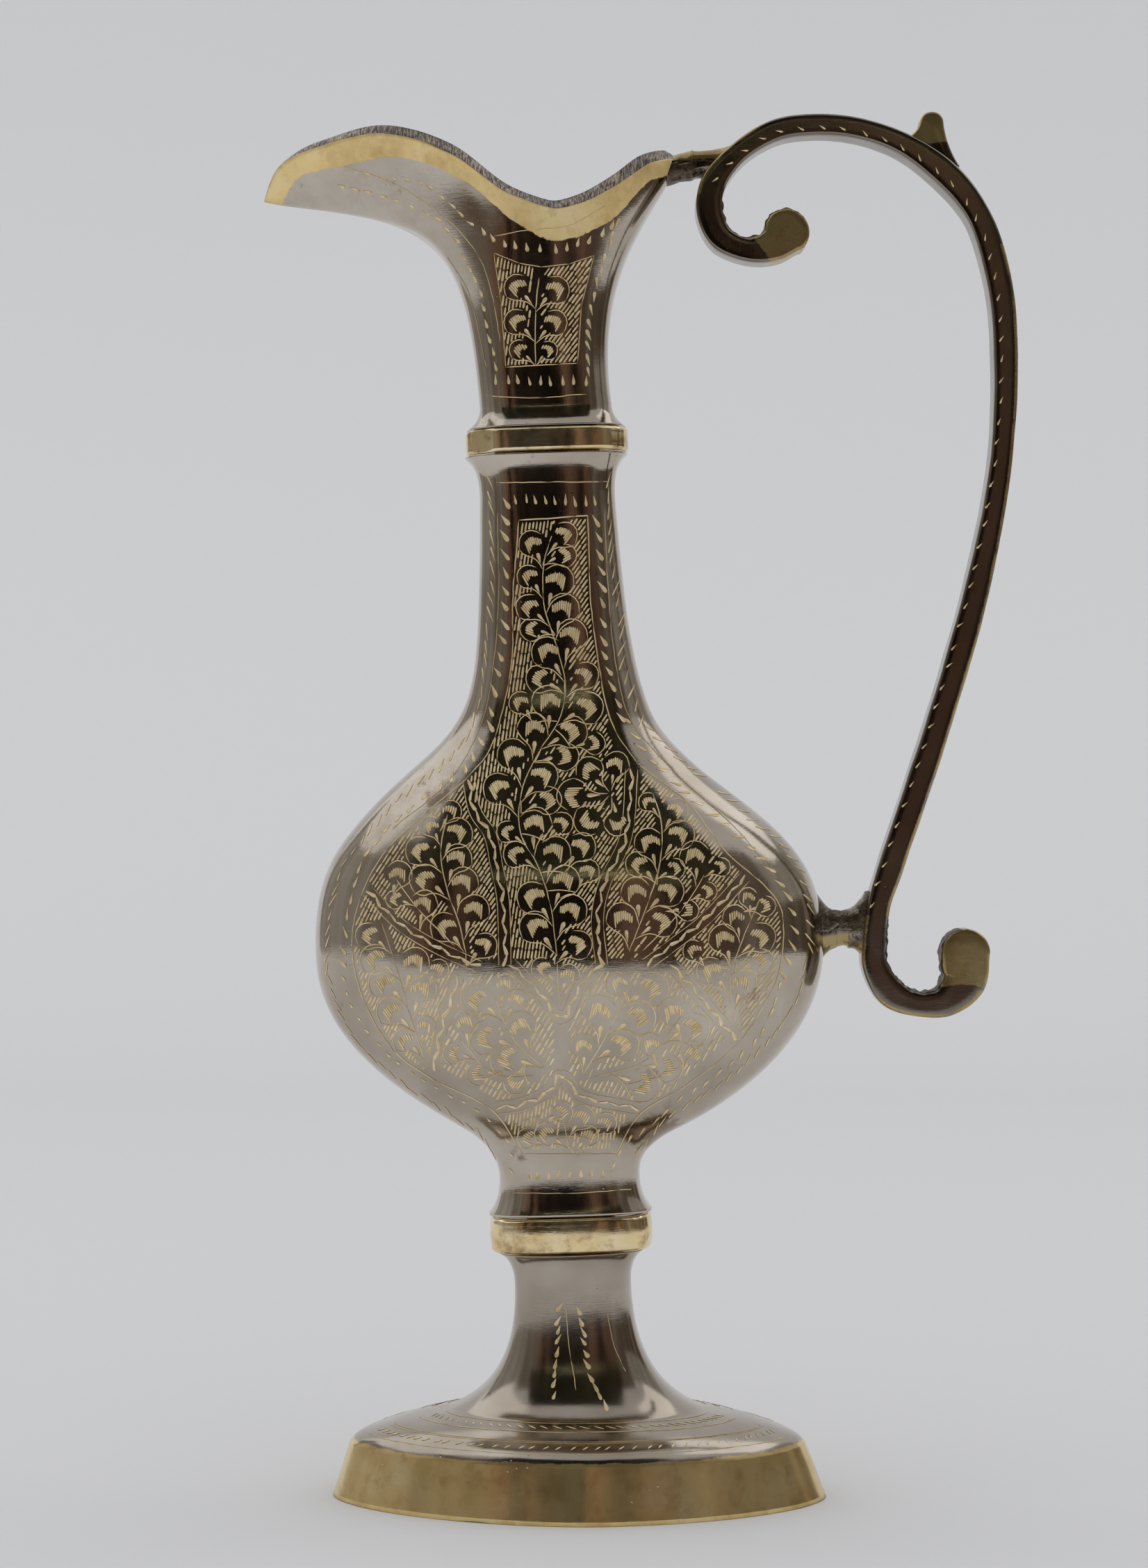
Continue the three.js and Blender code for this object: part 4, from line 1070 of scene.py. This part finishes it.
def leaf(cuts, base, heading, size, hand):
    """A leaf: a scribed edge that springs from the stem, a fan of cuts in its head, a teardrop below."""
    out = turn(heading, -90 * hand)

    def spot(u, v):
        return base + (out * u + heading * v) * size

    edge = [spot(u + jitter(.012), v + jitter(.012)) for u, v in LEAF_EDGE]
    cuts.cut(smooth_path(edge[:5], .9), .17, "line", 1)
    cuts.cut(smooth_path(edge[4:], .9), .17, "line", 1)

    along = turn(heading, hand * (6 + jitter(8)))
    across = turn(along, -90 * hand)
    middle = spot(.01 + jitter(.015), .76 + jitter(.015))
    count = max(5, round(size * 1.2))
    for i in range(count):
        a = lerp(-1, 1, i / (count - 1))
        top = .19 - .09 * (a - .2) ** 2 + jitter(.014)
        bottom = .02 + (.14 + .06 * a) * abs(a) ** 1.3 + jitter(.025)
        head = middle + (across * a * .205 + along * top) * size
        foot = middle + (across * a * .19 - along * bottom) * size
        cuts.cut([head, foot], .33 * (1 + jitter(.1)), "gouge")
    cuts.cut([spot(0, .17), spot(jitter(.02), .47)], size * .095 * (1 + jitter(.15)), "drop")


class Panel:
    """A bordered field of the ornament: leafy sprigs first, then close hatching in all that is left."""

    def __init__(self, cuts, runs, size=6.6):
        """Runs are (points, gap) stretches of the outline, with the plain strip that each keeps clear."""
        self.cuts, self.size, self.leaves, self.stems = cuts, size, [], []
        self.starts = np.array([place for points, _ in runs for place in points], float)
        self.spans = np.roll(self.starts, -1, 0) - self.starts
        self.gaps = np.array([gap for points, gap in runs for _ in points])
        self.low, self.high = self.starts.min(0), self.starts.max(0)

    def room(self, places):
        """Distance in mm to the nearest border less its plain strip, below 0 outside the panel."""
        away = places[:, None] - self.starts
        t = (away * self.spans).sum(2) / np.maximum((self.spans ** 2).sum(1), 1e-9)
        near = np.linalg.norm(away - self.spans * np.clip(t, 0, 1)[..., None], axis=2) - self.gaps
        z = places[:, 1, None]
        crossing = (self.starts[:, 1] > z) != ((self.starts + self.spans)[:, 1] > z)
        drop = np.where(self.spans[:, 1] == 0, 1e-9, self.spans[:, 1])
        at = self.starts[:, 0] + self.spans[:, 0] * (z - self.starts[:, 1]) / drop
        inside = (crossing & (places[:, 0, None] < at)).sum(1) % 2 == 1
        return np.where(inside, near.min(1), -1)

    def in_leaf(self, places, grown=1.0, last=0):
        """Whether places lie in any leaf so far, or in the last few."""
        taken = np.zeros(len(places), bool)
        for base, heading, out, size in self.leaves[-last:]:
            u, v = (places - base) @ out / size, (places - base) @ heading / size
            taken |= ((u - HEAD[0]) / HEAD_HALF[0]) ** 2 + ((v - HEAD[1]) / HEAD_HALF[1]) ** 2 < grown ** 2
            taken |= (np.abs(u) < .1 * grown) & (v > 0) & (v < .55)
        return taken

    def add_leaf(self, base, heading, hand, *sizes):
        """Adds a leaf of the first of the sizes that fits where it stands."""
        heading = heading / np.linalg.norm(heading)
        out = turn(heading, -90 * hand)
        turns = np.linspace(0, 2 * math.pi, 9)[:-1]
        rim = [HEAD + HEAD_HALF * (math.cos(a), math.sin(a)) for a in turns]
        for size in sizes:
            sized = size * (1 + jitter(.03))
            cell = np.array([base + (out * u + heading * v) * sized for u, v in [*rim, HEAD, (0, .33)]])
            if self.room(cell).min() > -.1 and not self.in_leaf(cell, .84).any():
                leaf(self.cuts, base, heading, sized, hand)
                self.leaves.append((base, heading, out, sized))
                return True
        return False

    def sprig(self, places, lift=27):
        """A stem with leaves on both sides."""
        path = smooth_path(places, .25)
        self.stems.append(path)
        scribe(self.cuts, path[::8], .17, .1)
        ahead = unit(np.gradient(path, axis=0))
        pitch = self.size * .71
        for hand in (-1, 1):
            for i in range(round((.2 if hand < 0 else pitch / 2) / .25), len(path), round(pitch / .25)):
                base = path[i] + turn(ahead[i], -90 * hand) * .15
                heading = turn(ahead[i], -hand * (lift + jitter(5)))
                self.add_leaf(base, heading, hand, *(self.size * share for share in (1.08, 1, .9, .8, .7)))

    def fill(self, spacing=1.1):
        """More leaves on twigs, from the stems outwards, wherever a whole head still fits."""
        stems = np.concatenate(self.stems)
        ahead = unit(np.concatenate([np.gradient(stem, axis=0) for stem in self.stems]))
        across, up = (np.arange(*ends, spacing) for ends in zip(self.low, self.high))
        grid = np.array([(x, z) for x in across for z in up])
        grid = grid[self.room(grid) > 1.2]
        near = np.array([np.argmin(np.linalg.norm(stems - place, axis=1)) for place in grid], int)
        order = np.argsort([np.linalg.norm(stems[k] - place) for k, place in zip(near, grid)])
        for share in (.95, .76):
            taken = self.in_leaf(grid, 1 + .6 * share)
            for k in order:
                if taken[k]:
                    continue
                onward = ahead[near[k]]
                away = grid[k] - stems[near[k]]
                away = away / max(np.linalg.norm(away), 1e-6)
                hand = -1 if onward[0] * away[1] > onward[1] * away[0] else 1
                heading = onward + away * 1.1 + [jitter(.2), jitter(.2)]
                heading = heading / np.linalg.norm(heading)
                base = grid[k] - heading * HEAD[1] * self.size * share
                if self.add_leaf(base, heading, hand, self.size * share):
                    taken |= self.in_leaf(grid, 1 + .6 * share, 1)
                    root = stems[max(near[k] - 6, 0)]
                    if 1 < np.linalg.norm(base - root) < 7:
                        bend = lerp(root, base, .5) + onward * .3
                        self.cuts.cut(smooth_path([root, bend, base], .8), .16, "line")

    def hatch(self, angle, where=0, pitch=.64, longest=2.6, step=.2):
        """Close parallel cuts in what is free; where keeps them left (-1) or right (1) of the first stem."""
        along, across = turn((1, 0), angle), turn((1, 0), angle + 90)
        corners = np.array([(x, z) for x in (self.low[0], self.high[0]) for z in (self.low[1], self.high[1])])
        runs, offsets = (np.arange((corners @ way).min(), (corners @ way).max(), gap)
                         for way, gap in ((along, step), (across, pitch)))
        for offset in offsets:
            line = along * runs[:, None] + across * (offset + jitter(.07))
            free = self.room(line) > 0
            if not free.any():
                continue
            free &= ~self.in_leaf(line, 1.04)
            for stem in self.stems:
                free &= np.linalg.norm(line[:, None] - stem[::4], axis=2).min(1) > .9
            if where:
                stem = self.stems[0][np.argsort(self.stems[0][:, 1])]
                free &= (line[:, 0] - np.interp(line[:, 1], stem[:, 1], stem[:, 0])) * where > 0
            edges = np.flatnonzero(np.diff(np.concatenate([[0], free.astype(int), [0]])))
            for first, last in zip(edges[::2], edges[1::2] - 1):
                length = runs[last] - runs[first]
                parts = math.ceil(length / longest) if length > .7 else 0
                for k in range(parts):
                    near = runs[first] + length * k / parts + .06 + jitter(.06)
                    far = runs[first] + length * (k + 1) / parts - .08 + jitter(.06)
                    ends = [along * share + across * offset for share in (near, far)]
                    self.cuts.cut(ends, .32 * (1 + jitter(.25)), "gouge")


def belly_ornament(cuts):
    left = [(-5.5, 176.5), (-7, 162.5), (-7.5, 151.5), (-10, 140.5), (-12.5, 134.5), (-16, 130.5)]
    left_low = [(-16, 130.5), (-30.5, 118.5), (-35, 112), (-37.5, 105), (-38, 99.5), (-36.5, 91.5),
                (-31.5, 82), (-25, 76.5), (-13.5, 70), (-8.5, 62)]
    right = [(7, 177), (7, 162), (7.5, 156), (9, 144), (10.5, 138.5), (14.5, 132)]
    right_low = [(14.5, 132), (23.5, 124.5), (30.5, 115), (36.5, 109.5), (39.5, 105.5), (40, 100), (38.5, 92),
                 (36, 87.5), (31, 80.5), (21.5, 73.5), (13, 68.5), (8.5, 61.5)]
    for border in (left, left_low, right, right_low, [left[0], right[0]], [left_low[-1], right_low[-1]]):
        scribe(cuts, border, .2)
    left_wall = [(-16, 130), (-15, 124), (-12.5, 120), (-11.5, 114.5), (-10.5, 108.5), (-10.5, 96)]
    right_wall = [(13.5, 131), (12, 118.5), (8, 110.5), (6.5, 104.5), (7, 95.5)]
    left_bar = [(-35, 110.5), (-29, 104), (-23, 100), (-15, 96)]
    right_bar = [(33.5, 111), (25.5, 103), (20, 99), (15, 95.5)]
    left_leg, right_leg = [(-19, 94.5), (-22.5, 84.5), (-24, 77.5)], [(19.5, 95.5), (26.5, 87), (31, 81.5)]
    vee = [(-9.5, 96.5), (-4, 90.5), (-.5, 86), (3, 92), (7, 96)]
    arch = [(-13, 70.5), (-8, 71), (-3, 73.5), (-1, 76.5), (2, 72.5), (13, 69.5)]
    for line in (left_wall, right_wall, left_bar, right_bar, left_leg, right_leg, vee, arch):
        zigzag(cuts, line)

    def border(points):
        return points, BORDER_GAP

    def wall(points):
        return points, WALL_GAP

    def field(runs, stems, size=6.9, angle=55, lift=27, pitch=.64):
        panel = Panel(cuts, runs, size)
        for stem in stems:
            panel.sprig(stem, lift)
        panel.fill()
        panel.hatch(angle, pitch=pitch)

    top = Panel(cuts, [border(left), wall(left_wall[1:]), wall(right_wall[::-1]), border(right[::-1][1:])],
                7.4)
    rosette = np.array([9.6, 126.6])
    for angle, size in ((82, 6.4), (134, 6.8), (184, 8.2), (232, 7.6), (284, 6.4)):
        base, heading = rosette + turn((.5, 0), angle), turn((1, 0), angle)
        leaf(cuts, base, heading, size, 1)
        top.leaves.append((base, heading, turn(heading, -90), size))
    top.sprig([(-1, 97.5), (-2, 107), (-4, 114), (-7, 120), (-6.5, 127.5), (-3.5, 134), (1, 141), (2, 147),
               (.5, 154), (-1.5, 161.5), (-1, 169.5), (.5, 174)])
    top.fill()
    top.hatch(80, -1)
    top.hatch(54, 1)

    field([border(left_low[:3]), wall(left_bar[1:]), wall(left_wall[::-1][:-1])],
          [[(-17.5, 98.5), (-18.5, 104), (-20.5, 110), (-21.5, 117), (-20, 124)],
           [(-19.5, 100), (-26, 107), (-30, 113)]])
    field([border(right_low[:3]), wall(right_bar), wall(right_wall[::-1][:-1])],
          [[(12, 98), (15, 105), (18, 113.5), (18.5, 121.5), (17, 127)],
           [(14.5, 98), (22, 105.5), (27, 113)]], angle=50)
    field([border(left_low[2:8]), wall(left_leg[::-1]), wall(left_bar[::-1][:-1])],
          [[(-25.5, 79.5), (-28, 88), (-30, 96), (-32.5, 104.5)]], angle=62)
    field([wall([(33.5, 111)]), border(right_low[3:9]), wall(right_leg[::-1]), wall(right_bar[::-1][:-1])],
          [[(31, 84), (30, 92), (33, 100.5), (36, 107)]], angle=50)
    field([wall(left_leg), wall(arch[:4]), wall(vee[:3][::-1]), wall([(-15, 96)])],
          [[(-4, 77.5), (-9.5, 83), (-13, 92)], [(-6, 76), (-13, 76.5), (-19, 83)]], 7.8, 58, pitch=.86)
    field([wall(vee[2:]), wall([(15, 95.5)]), wall(right_leg), border([(21.5, 73.5)]), wall(arch[3:][::-1])],
          [[(3, 76), (7.5, 83), (12, 92)], [(5, 75.5), (14, 78), (21, 86)], [(11, 74), (19, 76), (25, 81)]],
          7.8, 62, pitch=.86)
    field([wall(vee), border([(0, 99)])], [[(-.5, 88.5), (-1, 92), (-1, 97)]], 5)
    field([wall(arch), border([(8.5, 62), (-8.5, 62.5)])], [[(0, 62.5), (-.5, 66), (-1, 70)]], 5.6, 80, 45)


def belly_ticks(cuts):
    neck_long, neck_thin = (2.3, .8), (3.1, .34)
    tick_row(cuts, [(-7.5, 180), (-8, 174.5), (-8.5, 162), (-9, 155.5), (-10, 150), (-12, 139.5)], 3.2,
             *neck_long, (-60, -60, -65))
    tick_row(cuts, [(-10.5, 184), (-10.5, 165.5), (-11.5, 158), (-13.5, 144.5), (-15, 140.5)], 2.7,
             *neck_thin, (-74, -76, -100), "chisel")
    tick_row(cuts, [(8.5, 176), (9, 167), (9, 156), (9.5, 150.5), (12, 140)], 3.1, *neck_long,
             (-60, -62, -50))
    tick_row(cuts, [(11, 183.5), (11, 169.5), (12.5, 156.5), (12.5, 150), (15.5, 139.5)], 2.8, *neck_thin,
             (80, 68, 70), "chisel")
    tick_row(cuts, [(-6, 180.5), (8.5, 179.5)], 1.8, 2.0, .5, (-82, -88))
    scribe(cuts, [(-9.5, 183.5), (11, 183)])
    scribe(cuts, [(-9.3, 178), (-9.6, 162), (-10.8, 151), (-13, 141), (-19, 130.5), (-30, 121.5)], .12)
    scribe(cuts, [(10, 178), (10.3, 162), (11.2, 150), (13.5, 140), (20.5, 131), (33, 118.5), (39, 110.5)],
           .12)
    inner, outer = (2.2, .62), (2.4, .34)
    tick_row(cuts, [(-13.5, 137), (-16.5, 132.5), (-27, 125), (-34.5, 117.5), (-37.5, 110.5), (-39.5, 102.5),
                    (-40, 97.5)], 3.0, *inner, (-60, -140, -120, -55))
    tick_row(cuts, [(-40, 95), (-39, 91), (-36, 85.5), (-31, 79.7), (-25.5, 75.5), (-19.5, 72), (-14, 68),
                    (-11, 64), (-10.5, 59)], 2.7, 1.2, .5, (-55, -40, -35, -60))
    tick_row(cuts, [(-15.5, 138), (-20.5, 133), (-28, 127.5), (-33.5, 122), (-38.5, 116), (-41, 109.5),
                    (-42.3, 102.5), (-42.8, 96.5)], 2.5, *outer, (60, 55, 62, 70), "chisel")
    tick_row(cuts, [(-42.3, 94.5), (-40.8, 89), (-37.8, 83.5), (-33, 78.4), (-27.5, 73.8), (-21.5, 69.8),
                    (-16.5, 66), (-13.3, 62)], 2.3, *outer, (-62, -50, -42, -60), "chisel")
    tick_row(cuts, [(12.5, 140), (15.5, 134.5), (20, 129.5), (26, 123.5), (33, 117.5), (38, 111.8),
                    (41, 107.5), (42, 102.5), (41.5, 98.5), (39.5, 93)], 2.9, 2.4, .7,
             (-40, -12, -8, -14, -50, -60))
    tick_row(cuts, [(39, 91), (37, 85.5), (33, 79.5), (26.5, 74.7), (19.5, 70.2), (15, 66.5), (10, 63),
                    (8, 59)], 2.8, 1.9, .5, (66, 60, 50, 62))
    tick_row(cuts, [(17, 138), (22.5, 132.4), (28.5, 127.4), (35, 121.4), (41, 115.6), (44, 110), (45, 104),
                    (44.6, 97)], 2.5, 2.4, .4, (-30, -14, -12, -42, -60), "chisel")
    tick_row(cuts, [(44, 95), (42.2, 88.5), (37.4, 82), (31.2, 76), (23.7, 71.2), (16.8, 66.8), (12.8, 62)],
             2.4, *outer, (66, 60, 52, 62), "chisel")
    tick_row(cuts, [(-7.5, 58), (6, 58)], 1.9, 1.4, .75, (-88, -92))
    scribe(cuts, [(-10.5, 55), (0, 54.6), (11, 55)])


def spout_ornament(cuts):
    outline = [(-8.5, 225), (-7.5, 216), (-7, 204.3), (6, 204.6), (7, 215), (9.6, 224), (5, 222.6),
               (0, 222.2), (-4, 223)]
    panel = Panel(cuts, [(outline, .15)])
    stem = smooth_path([(-1.6, 204.4), (-1.5, 210), (-1.1, 216), (-.2, 222)], .25)
    panel.stems.append(stem)
    scribe(cuts, stem[::8], .17, .1)
    for hand, height, tilt, size in ((-1, 204.5, 40, 5.2), (-1, 208.6, 37, 6.6), (-1, 214.7, 35, 6.6),
                                     (1, 204.5, 38, 4.8), (1, 208.4, 40, 6.6), (1, 214.0, 40, 6.8)):
        base = stem[np.argmin(np.abs(stem[:, 1] - height))]
        panel.add_leaf(base, turn((0, 1), -hand * tilt), hand, size, size * .94, size * .88)
    panel.hatch(80, -1)
    panel.hatch(52, 1)
    for a, b in zip(outline, outline[1:] + outline[:1]):
        scribe(cuts, [a, b], .15, .05)
    tick_row(cuts, [(-31, 240), (-26, 239), (-21, 238), (-16.5, 234.5), (-12.5, 230.5)], 2.5, 1.7, .55,
             (-24, -40))
    tick_row(cuts, [(-10.5, 229), (-8, 227.5), (-3.5, 226), (1.5, 225.5), (5.5, 226), (9, 227), (13, 229.5)],
             2.3, 1.7, .7, (-68, -84, -95, -110))
    tick_row(cuts, [(-36, 238), (-30, 236.5), (-25, 234.5), (-19.5, 232), (-15.5, 227.5), (-13, 222.5),
                    (-11, 217), (-10, 211.5), (-9, 204.5)], 2.7, 1.8, .6, (-20, -30, -50, -68, -78))
    tick_row(cuts, [(14, 229.5), (11.5, 223.5), (9.5, 217), (8.5, 212.5), (8, 208), (8, 203)], 2.2, 2.1, .65,
             (72, 78, 104, 108))
    tick_row(cuts, [(-9, 202), (7.5, 201.5)], 1.95, 1.9, .6, (-80, -92))
    scribe(cuts, [(-10.5, 199.2), (-2, 198.6), (7.5, 199)])
    scribe(cuts, [(-35, 241.5), (-28, 239), (-22, 235.5), (-17.5, 232), (-14.5, 229), (-11, 224), (-9, 217),
                  (-7.8, 209)], .14)
    scribe(cuts, [(-17, 224.5), (-13.5, 218.5), (-11.5, 210), (-10.5, 204.5)], .12)
    scribe(cuts, [(-8.5, 228), (-2, 229), (5, 229.5), (12, 233)], .12)


def foot_ornament(cuts):
    tick_row(cuts, [(-2.5, 34), (-3, 29.5), (-3.5, 23.5), (-4, 18)], 2.0, 1.9, .7, (-118, -110))
    tick_row(cuts, [(1, 33.5), (1.5, 28.5), (2.5, 22), (5, 16)], 2.1, 2.0, .75, (-62, -66))
    scribe(cuts, [(-1.5, 34.5), (-1, 26.5), (0, 19)], .13)
    scribe(cuts, [(6, 33), (7, 27), (9, 22)], .1)


def foot_rings(cuts, side):
    """Scribed lines and rows of ticks that run round the foot's dome, on one face."""
    profile = foot_profile(60)
    profile = profile[profile[:, 1] > SKIRT_H + SKIRT_EDGE]

    def spots(width, *angles):
        z = float(np.interp(-width, -profile[:, 0], profile[:, 1]))
        ux, uy = oval_unit(np.asarray(angles), foot_shape(width))
        ring = np.stack([ux * width, uy * foot_depth(width), np.full_like(ux, z)], -1)
        places = [Vector(place) for place in to_world(lean_ring(ring, z))]
        return [(place, cuts.tree.find_nearest(place)[1]) for place in places]

    middle = side * math.pi / 2
    for width, line in ((24, .13), (29, .16), (33.6, .13), (34.2, .1), (38.6, .14)):
        angles = np.linspace(middle - 1.35, middle + 1.35, 25)
        for start in range(0, 24, 4):
            pull = spots(width + jitter(.15), *angles[start:start + 5])
            cuts.sliver(pull, [line * share for share in (.5, 1, 1, 1, .5)])
    for width, count, length, turned in ((26.4, 34, 1.5, .5), (36.3, 40, 1.2, -.45)):
        step = turned * length / width
        for angle in np.linspace(middle - 1.3, middle + 1.3, count):
            a = angle + jitter(.012)
            ends = spots(width - length * .5, a - step), spots(width + length * .5, a + step)
            cuts.sliver([*ends[0], *spots(width, a), *ends[1]], [.1, .32, .12])


def handle_ticks(cuts):
    """One row of short ticks on the inner third of the strap, from the rim lug round to the belly lug."""
    run = np.linspace(0, 1, len(STRAP))
    last = run[(run > .6) & (STRAP[:, 1] < LUG_LEVEL + 4)][0]
    for share in np.linspace(.102, last, 50):
        i = int(np.interp(share + jitter(.001), run, np.arange(len(STRAP))))
        along = STRAP_ALONG[i]
        inner = np.array([along[1], -along[0]])
        centre = STRAP[i, :2] + inner * (1.05 * float(smoothstep(share, .3, .65)) + jitter(.12))
        half = turn(along, -32 + jitter(12)) * .70
        cuts.cut([centre - half, centre + half], .62, "drop", .7)


for side, face in ((-1, "front"), (1, "rear")):
    for under, name, job in (
        (body_shell, "belly_leaves", belly_ornament), (body_shell, "belly_ticks", belly_ticks),
        (lip_casting, "spout_cuts", spout_ornament), (foot_casting, "foot_cuts", foot_ornament),
        (strap_handle, "handle_ticks", handle_ticks),
    ):
        cuts = Cuts(under, side)
        job(cuts)
        if under is foot_casting:
            foot_rings(cuts, side)
        cuts.finish(f"{name}_{face}")


# Camera, floor, backdrop and light, in metres
LENS, SENSOR, ROLL = 78.72, 36, -.2        # mm, mm, degrees
STUDIO_REACH = 1.35
FLOOR_HALF, FLOOR_FRONT, BEND_FROM, BEND_RADIUS, BACKDROP_TOP = 2.2, -.73, .8, .6, 2.6
FLOOR_TONE = (.64, .64, .645)
# what the front of the plating mirrors: dark cloth behind the camera with painted fold shade, an olive wall
# above it and grey-brown screens at its sides; two angles from the camera's direction, two heights, a dark
# and a pale tone
SCREENS = {
    "dark_cloth": (-.62, .62, -1.2, .60, (.003, .002, .001), (.24, .14, .09)),
    "olive_wall": (-.75, .75, .60, 2.5, (.012, .011, .005), (.075, .064, .03)),
    "left_screen": (.62, 1.15, -.1, 1.2, (.18, .158, .13), (.36, .315, .27)),
    "left_outer_screen": (1.15, 2.4, -.1, .95, (.30, .28, .255), (.48, .46, .43)),
    "right_screen": (-.62, -1.15, -.1, 1.2, (.09, .07, .052), (.27, .23, .19)),
    "right_low_screen": (-1.15, -2.3, -.1, .40, (.09, .07, .05), (.27, .22, .17)),
    "right_outer_screen": (-1.15, -2.4, .40, 1.0, (.30, .28, .255), (.48, .46, .43)),
}
# place, target, size, power and colour
LAMPS = {
    "left_lamp": ((-1.0, .4, 1.25), (0, 0, .1), (1.8, 1.8), 3.8, (1, 1, 1)),
    "right_lamp": ((1.0, .4, 1.25), (0, 0, .1), (1.15, 1.15), 2.3, (1, 1, 1)),
    "ceiling_tube": ((0, -1.33, .58), (0, 0, .12), (1.1, .006), .06, (.97, 1, .6)),
}
AIR_TONE, SEEN_AIR_TONE = (.90, .905, .92), (.52, .52, .53)


def add_camera():
    data = bpy.data.cameras.new("photo_camera")
    data.lens, data.sensor_width, data.sensor_fit = LENS, SENSOR, "AUTO"
    data.clip_start, data.clip_end = .01, 20
    camera = show("photo_camera", data)
    camera.location = CAMERA
    camera.rotation_euler = (math.radians(90), math.radians(ROLL), 0)
    bpy.context.scene.camera = camera


def stage_sheet(name, edges, dark, pale=None):
    """A matt sheet between two edges, given as pairs of points; a pale tone paints fold shade into the dark
    one.
    """
    mesh = bpy.data.meshes.new(name)
    faces = [(i, i + 1, i + 3, i + 2) for i in range(0, len(edges) - 2, 2)]
    mesh.from_pydata(edges, [], faces)
    mesh.polygons.foreach_set("use_smooth", [True] * len(faces))
    n = material_nodes(name)
    colour = dark
    if pale:
        # painted fold shade: stripes of the pale tone in the dark one, for pleats that the flat sheet doesn't
        # have
        painted_fold_shade = n.noise(1, 3, .65, n.stretched(.0055, .0055, .0003))
        between = tuple(lerp(np.array(dark), np.array(pale), .25))
        colour = n.ramp(painted_fold_shade, (.42, dark), (.52, between), (.64, pale))
    mesh.materials.append(n.put(n.shader, {"Base Color": colour, "Roughness": .9, "Specular IOR Level": .2}))
    sheet = show(name, mesh)
    return sheet


def add_studio():
    # floor that turns up into the backdrop behind the ewer
    back = BEND_FROM + BEND_RADIUS
    profile = [(y, 0) for y in (FLOOR_FRONT, -.4, 0, .4, BEND_FROM)]
    profile += [(BEND_FROM + BEND_RADIUS * math.sin(a), BEND_RADIUS - BEND_RADIUS * math.cos(a))
                for a in np.linspace(0, math.pi / 2, 14)[1:]]
    profile += [(back, 2 * BEND_RADIUS), (back, BACKDROP_TOP)]
    edges = [(x, y, z) for y, z in profile for x in (-FLOOR_HALF, FLOOR_HALF)]
    stage_sheet("studio_floor", edges, FLOOR_TONE)
    # upright sheets round the ewer that only mirrors show
    for name, (first, last, low, high, dark, pale) in SCREENS.items():
        edges = [(-STUDIO_REACH * math.sin(a), -STUDIO_REACH * math.cos(a), z)
                 for a in np.linspace(first, last, 25) for z in (low, high)]
        sheet = stage_sheet(name, edges, dark, pale)
        sheet.visible_camera = sheet.visible_diffuse = sheet.visible_shadow = False


def add_lamps():
    for name, (place, target, size, power, colour) in LAMPS.items():
        data = bpy.data.lights.new(name, "AREA")
        data.shape, data.size, data.size_y, data.energy, data.color = "RECTANGLE", *size, power, colour
        lamp = show(name, data)
        lamp.location = place
        lamp.rotation_euler = (Vector(target) - Vector(place)).to_track_quat("-Z", "Y").to_euler()


def add_world():
    """Pale air that lights the ewer, and is a mid grey to the camera, to mirrors and through glass."""
    world = bpy.data.worlds.new("studio_air")
    bpy.context.scene.world = world
    n = Nodes(world, "Background")
    seen = n.total(*(n.add("LightPath", f"Is {ray} Ray") for ray in ("Camera", "Glossy", "Transmission")))
    n.put(n.shader, {"Color": n.mix(seen, AIR_TONE, SEEN_AIR_TONE), "Strength": 1})


add_camera()
add_studio()
add_world()
add_lamps()

bpy.context.scene.view_settings.view_transform = "Standard"

bpy.context.view_layer.update()
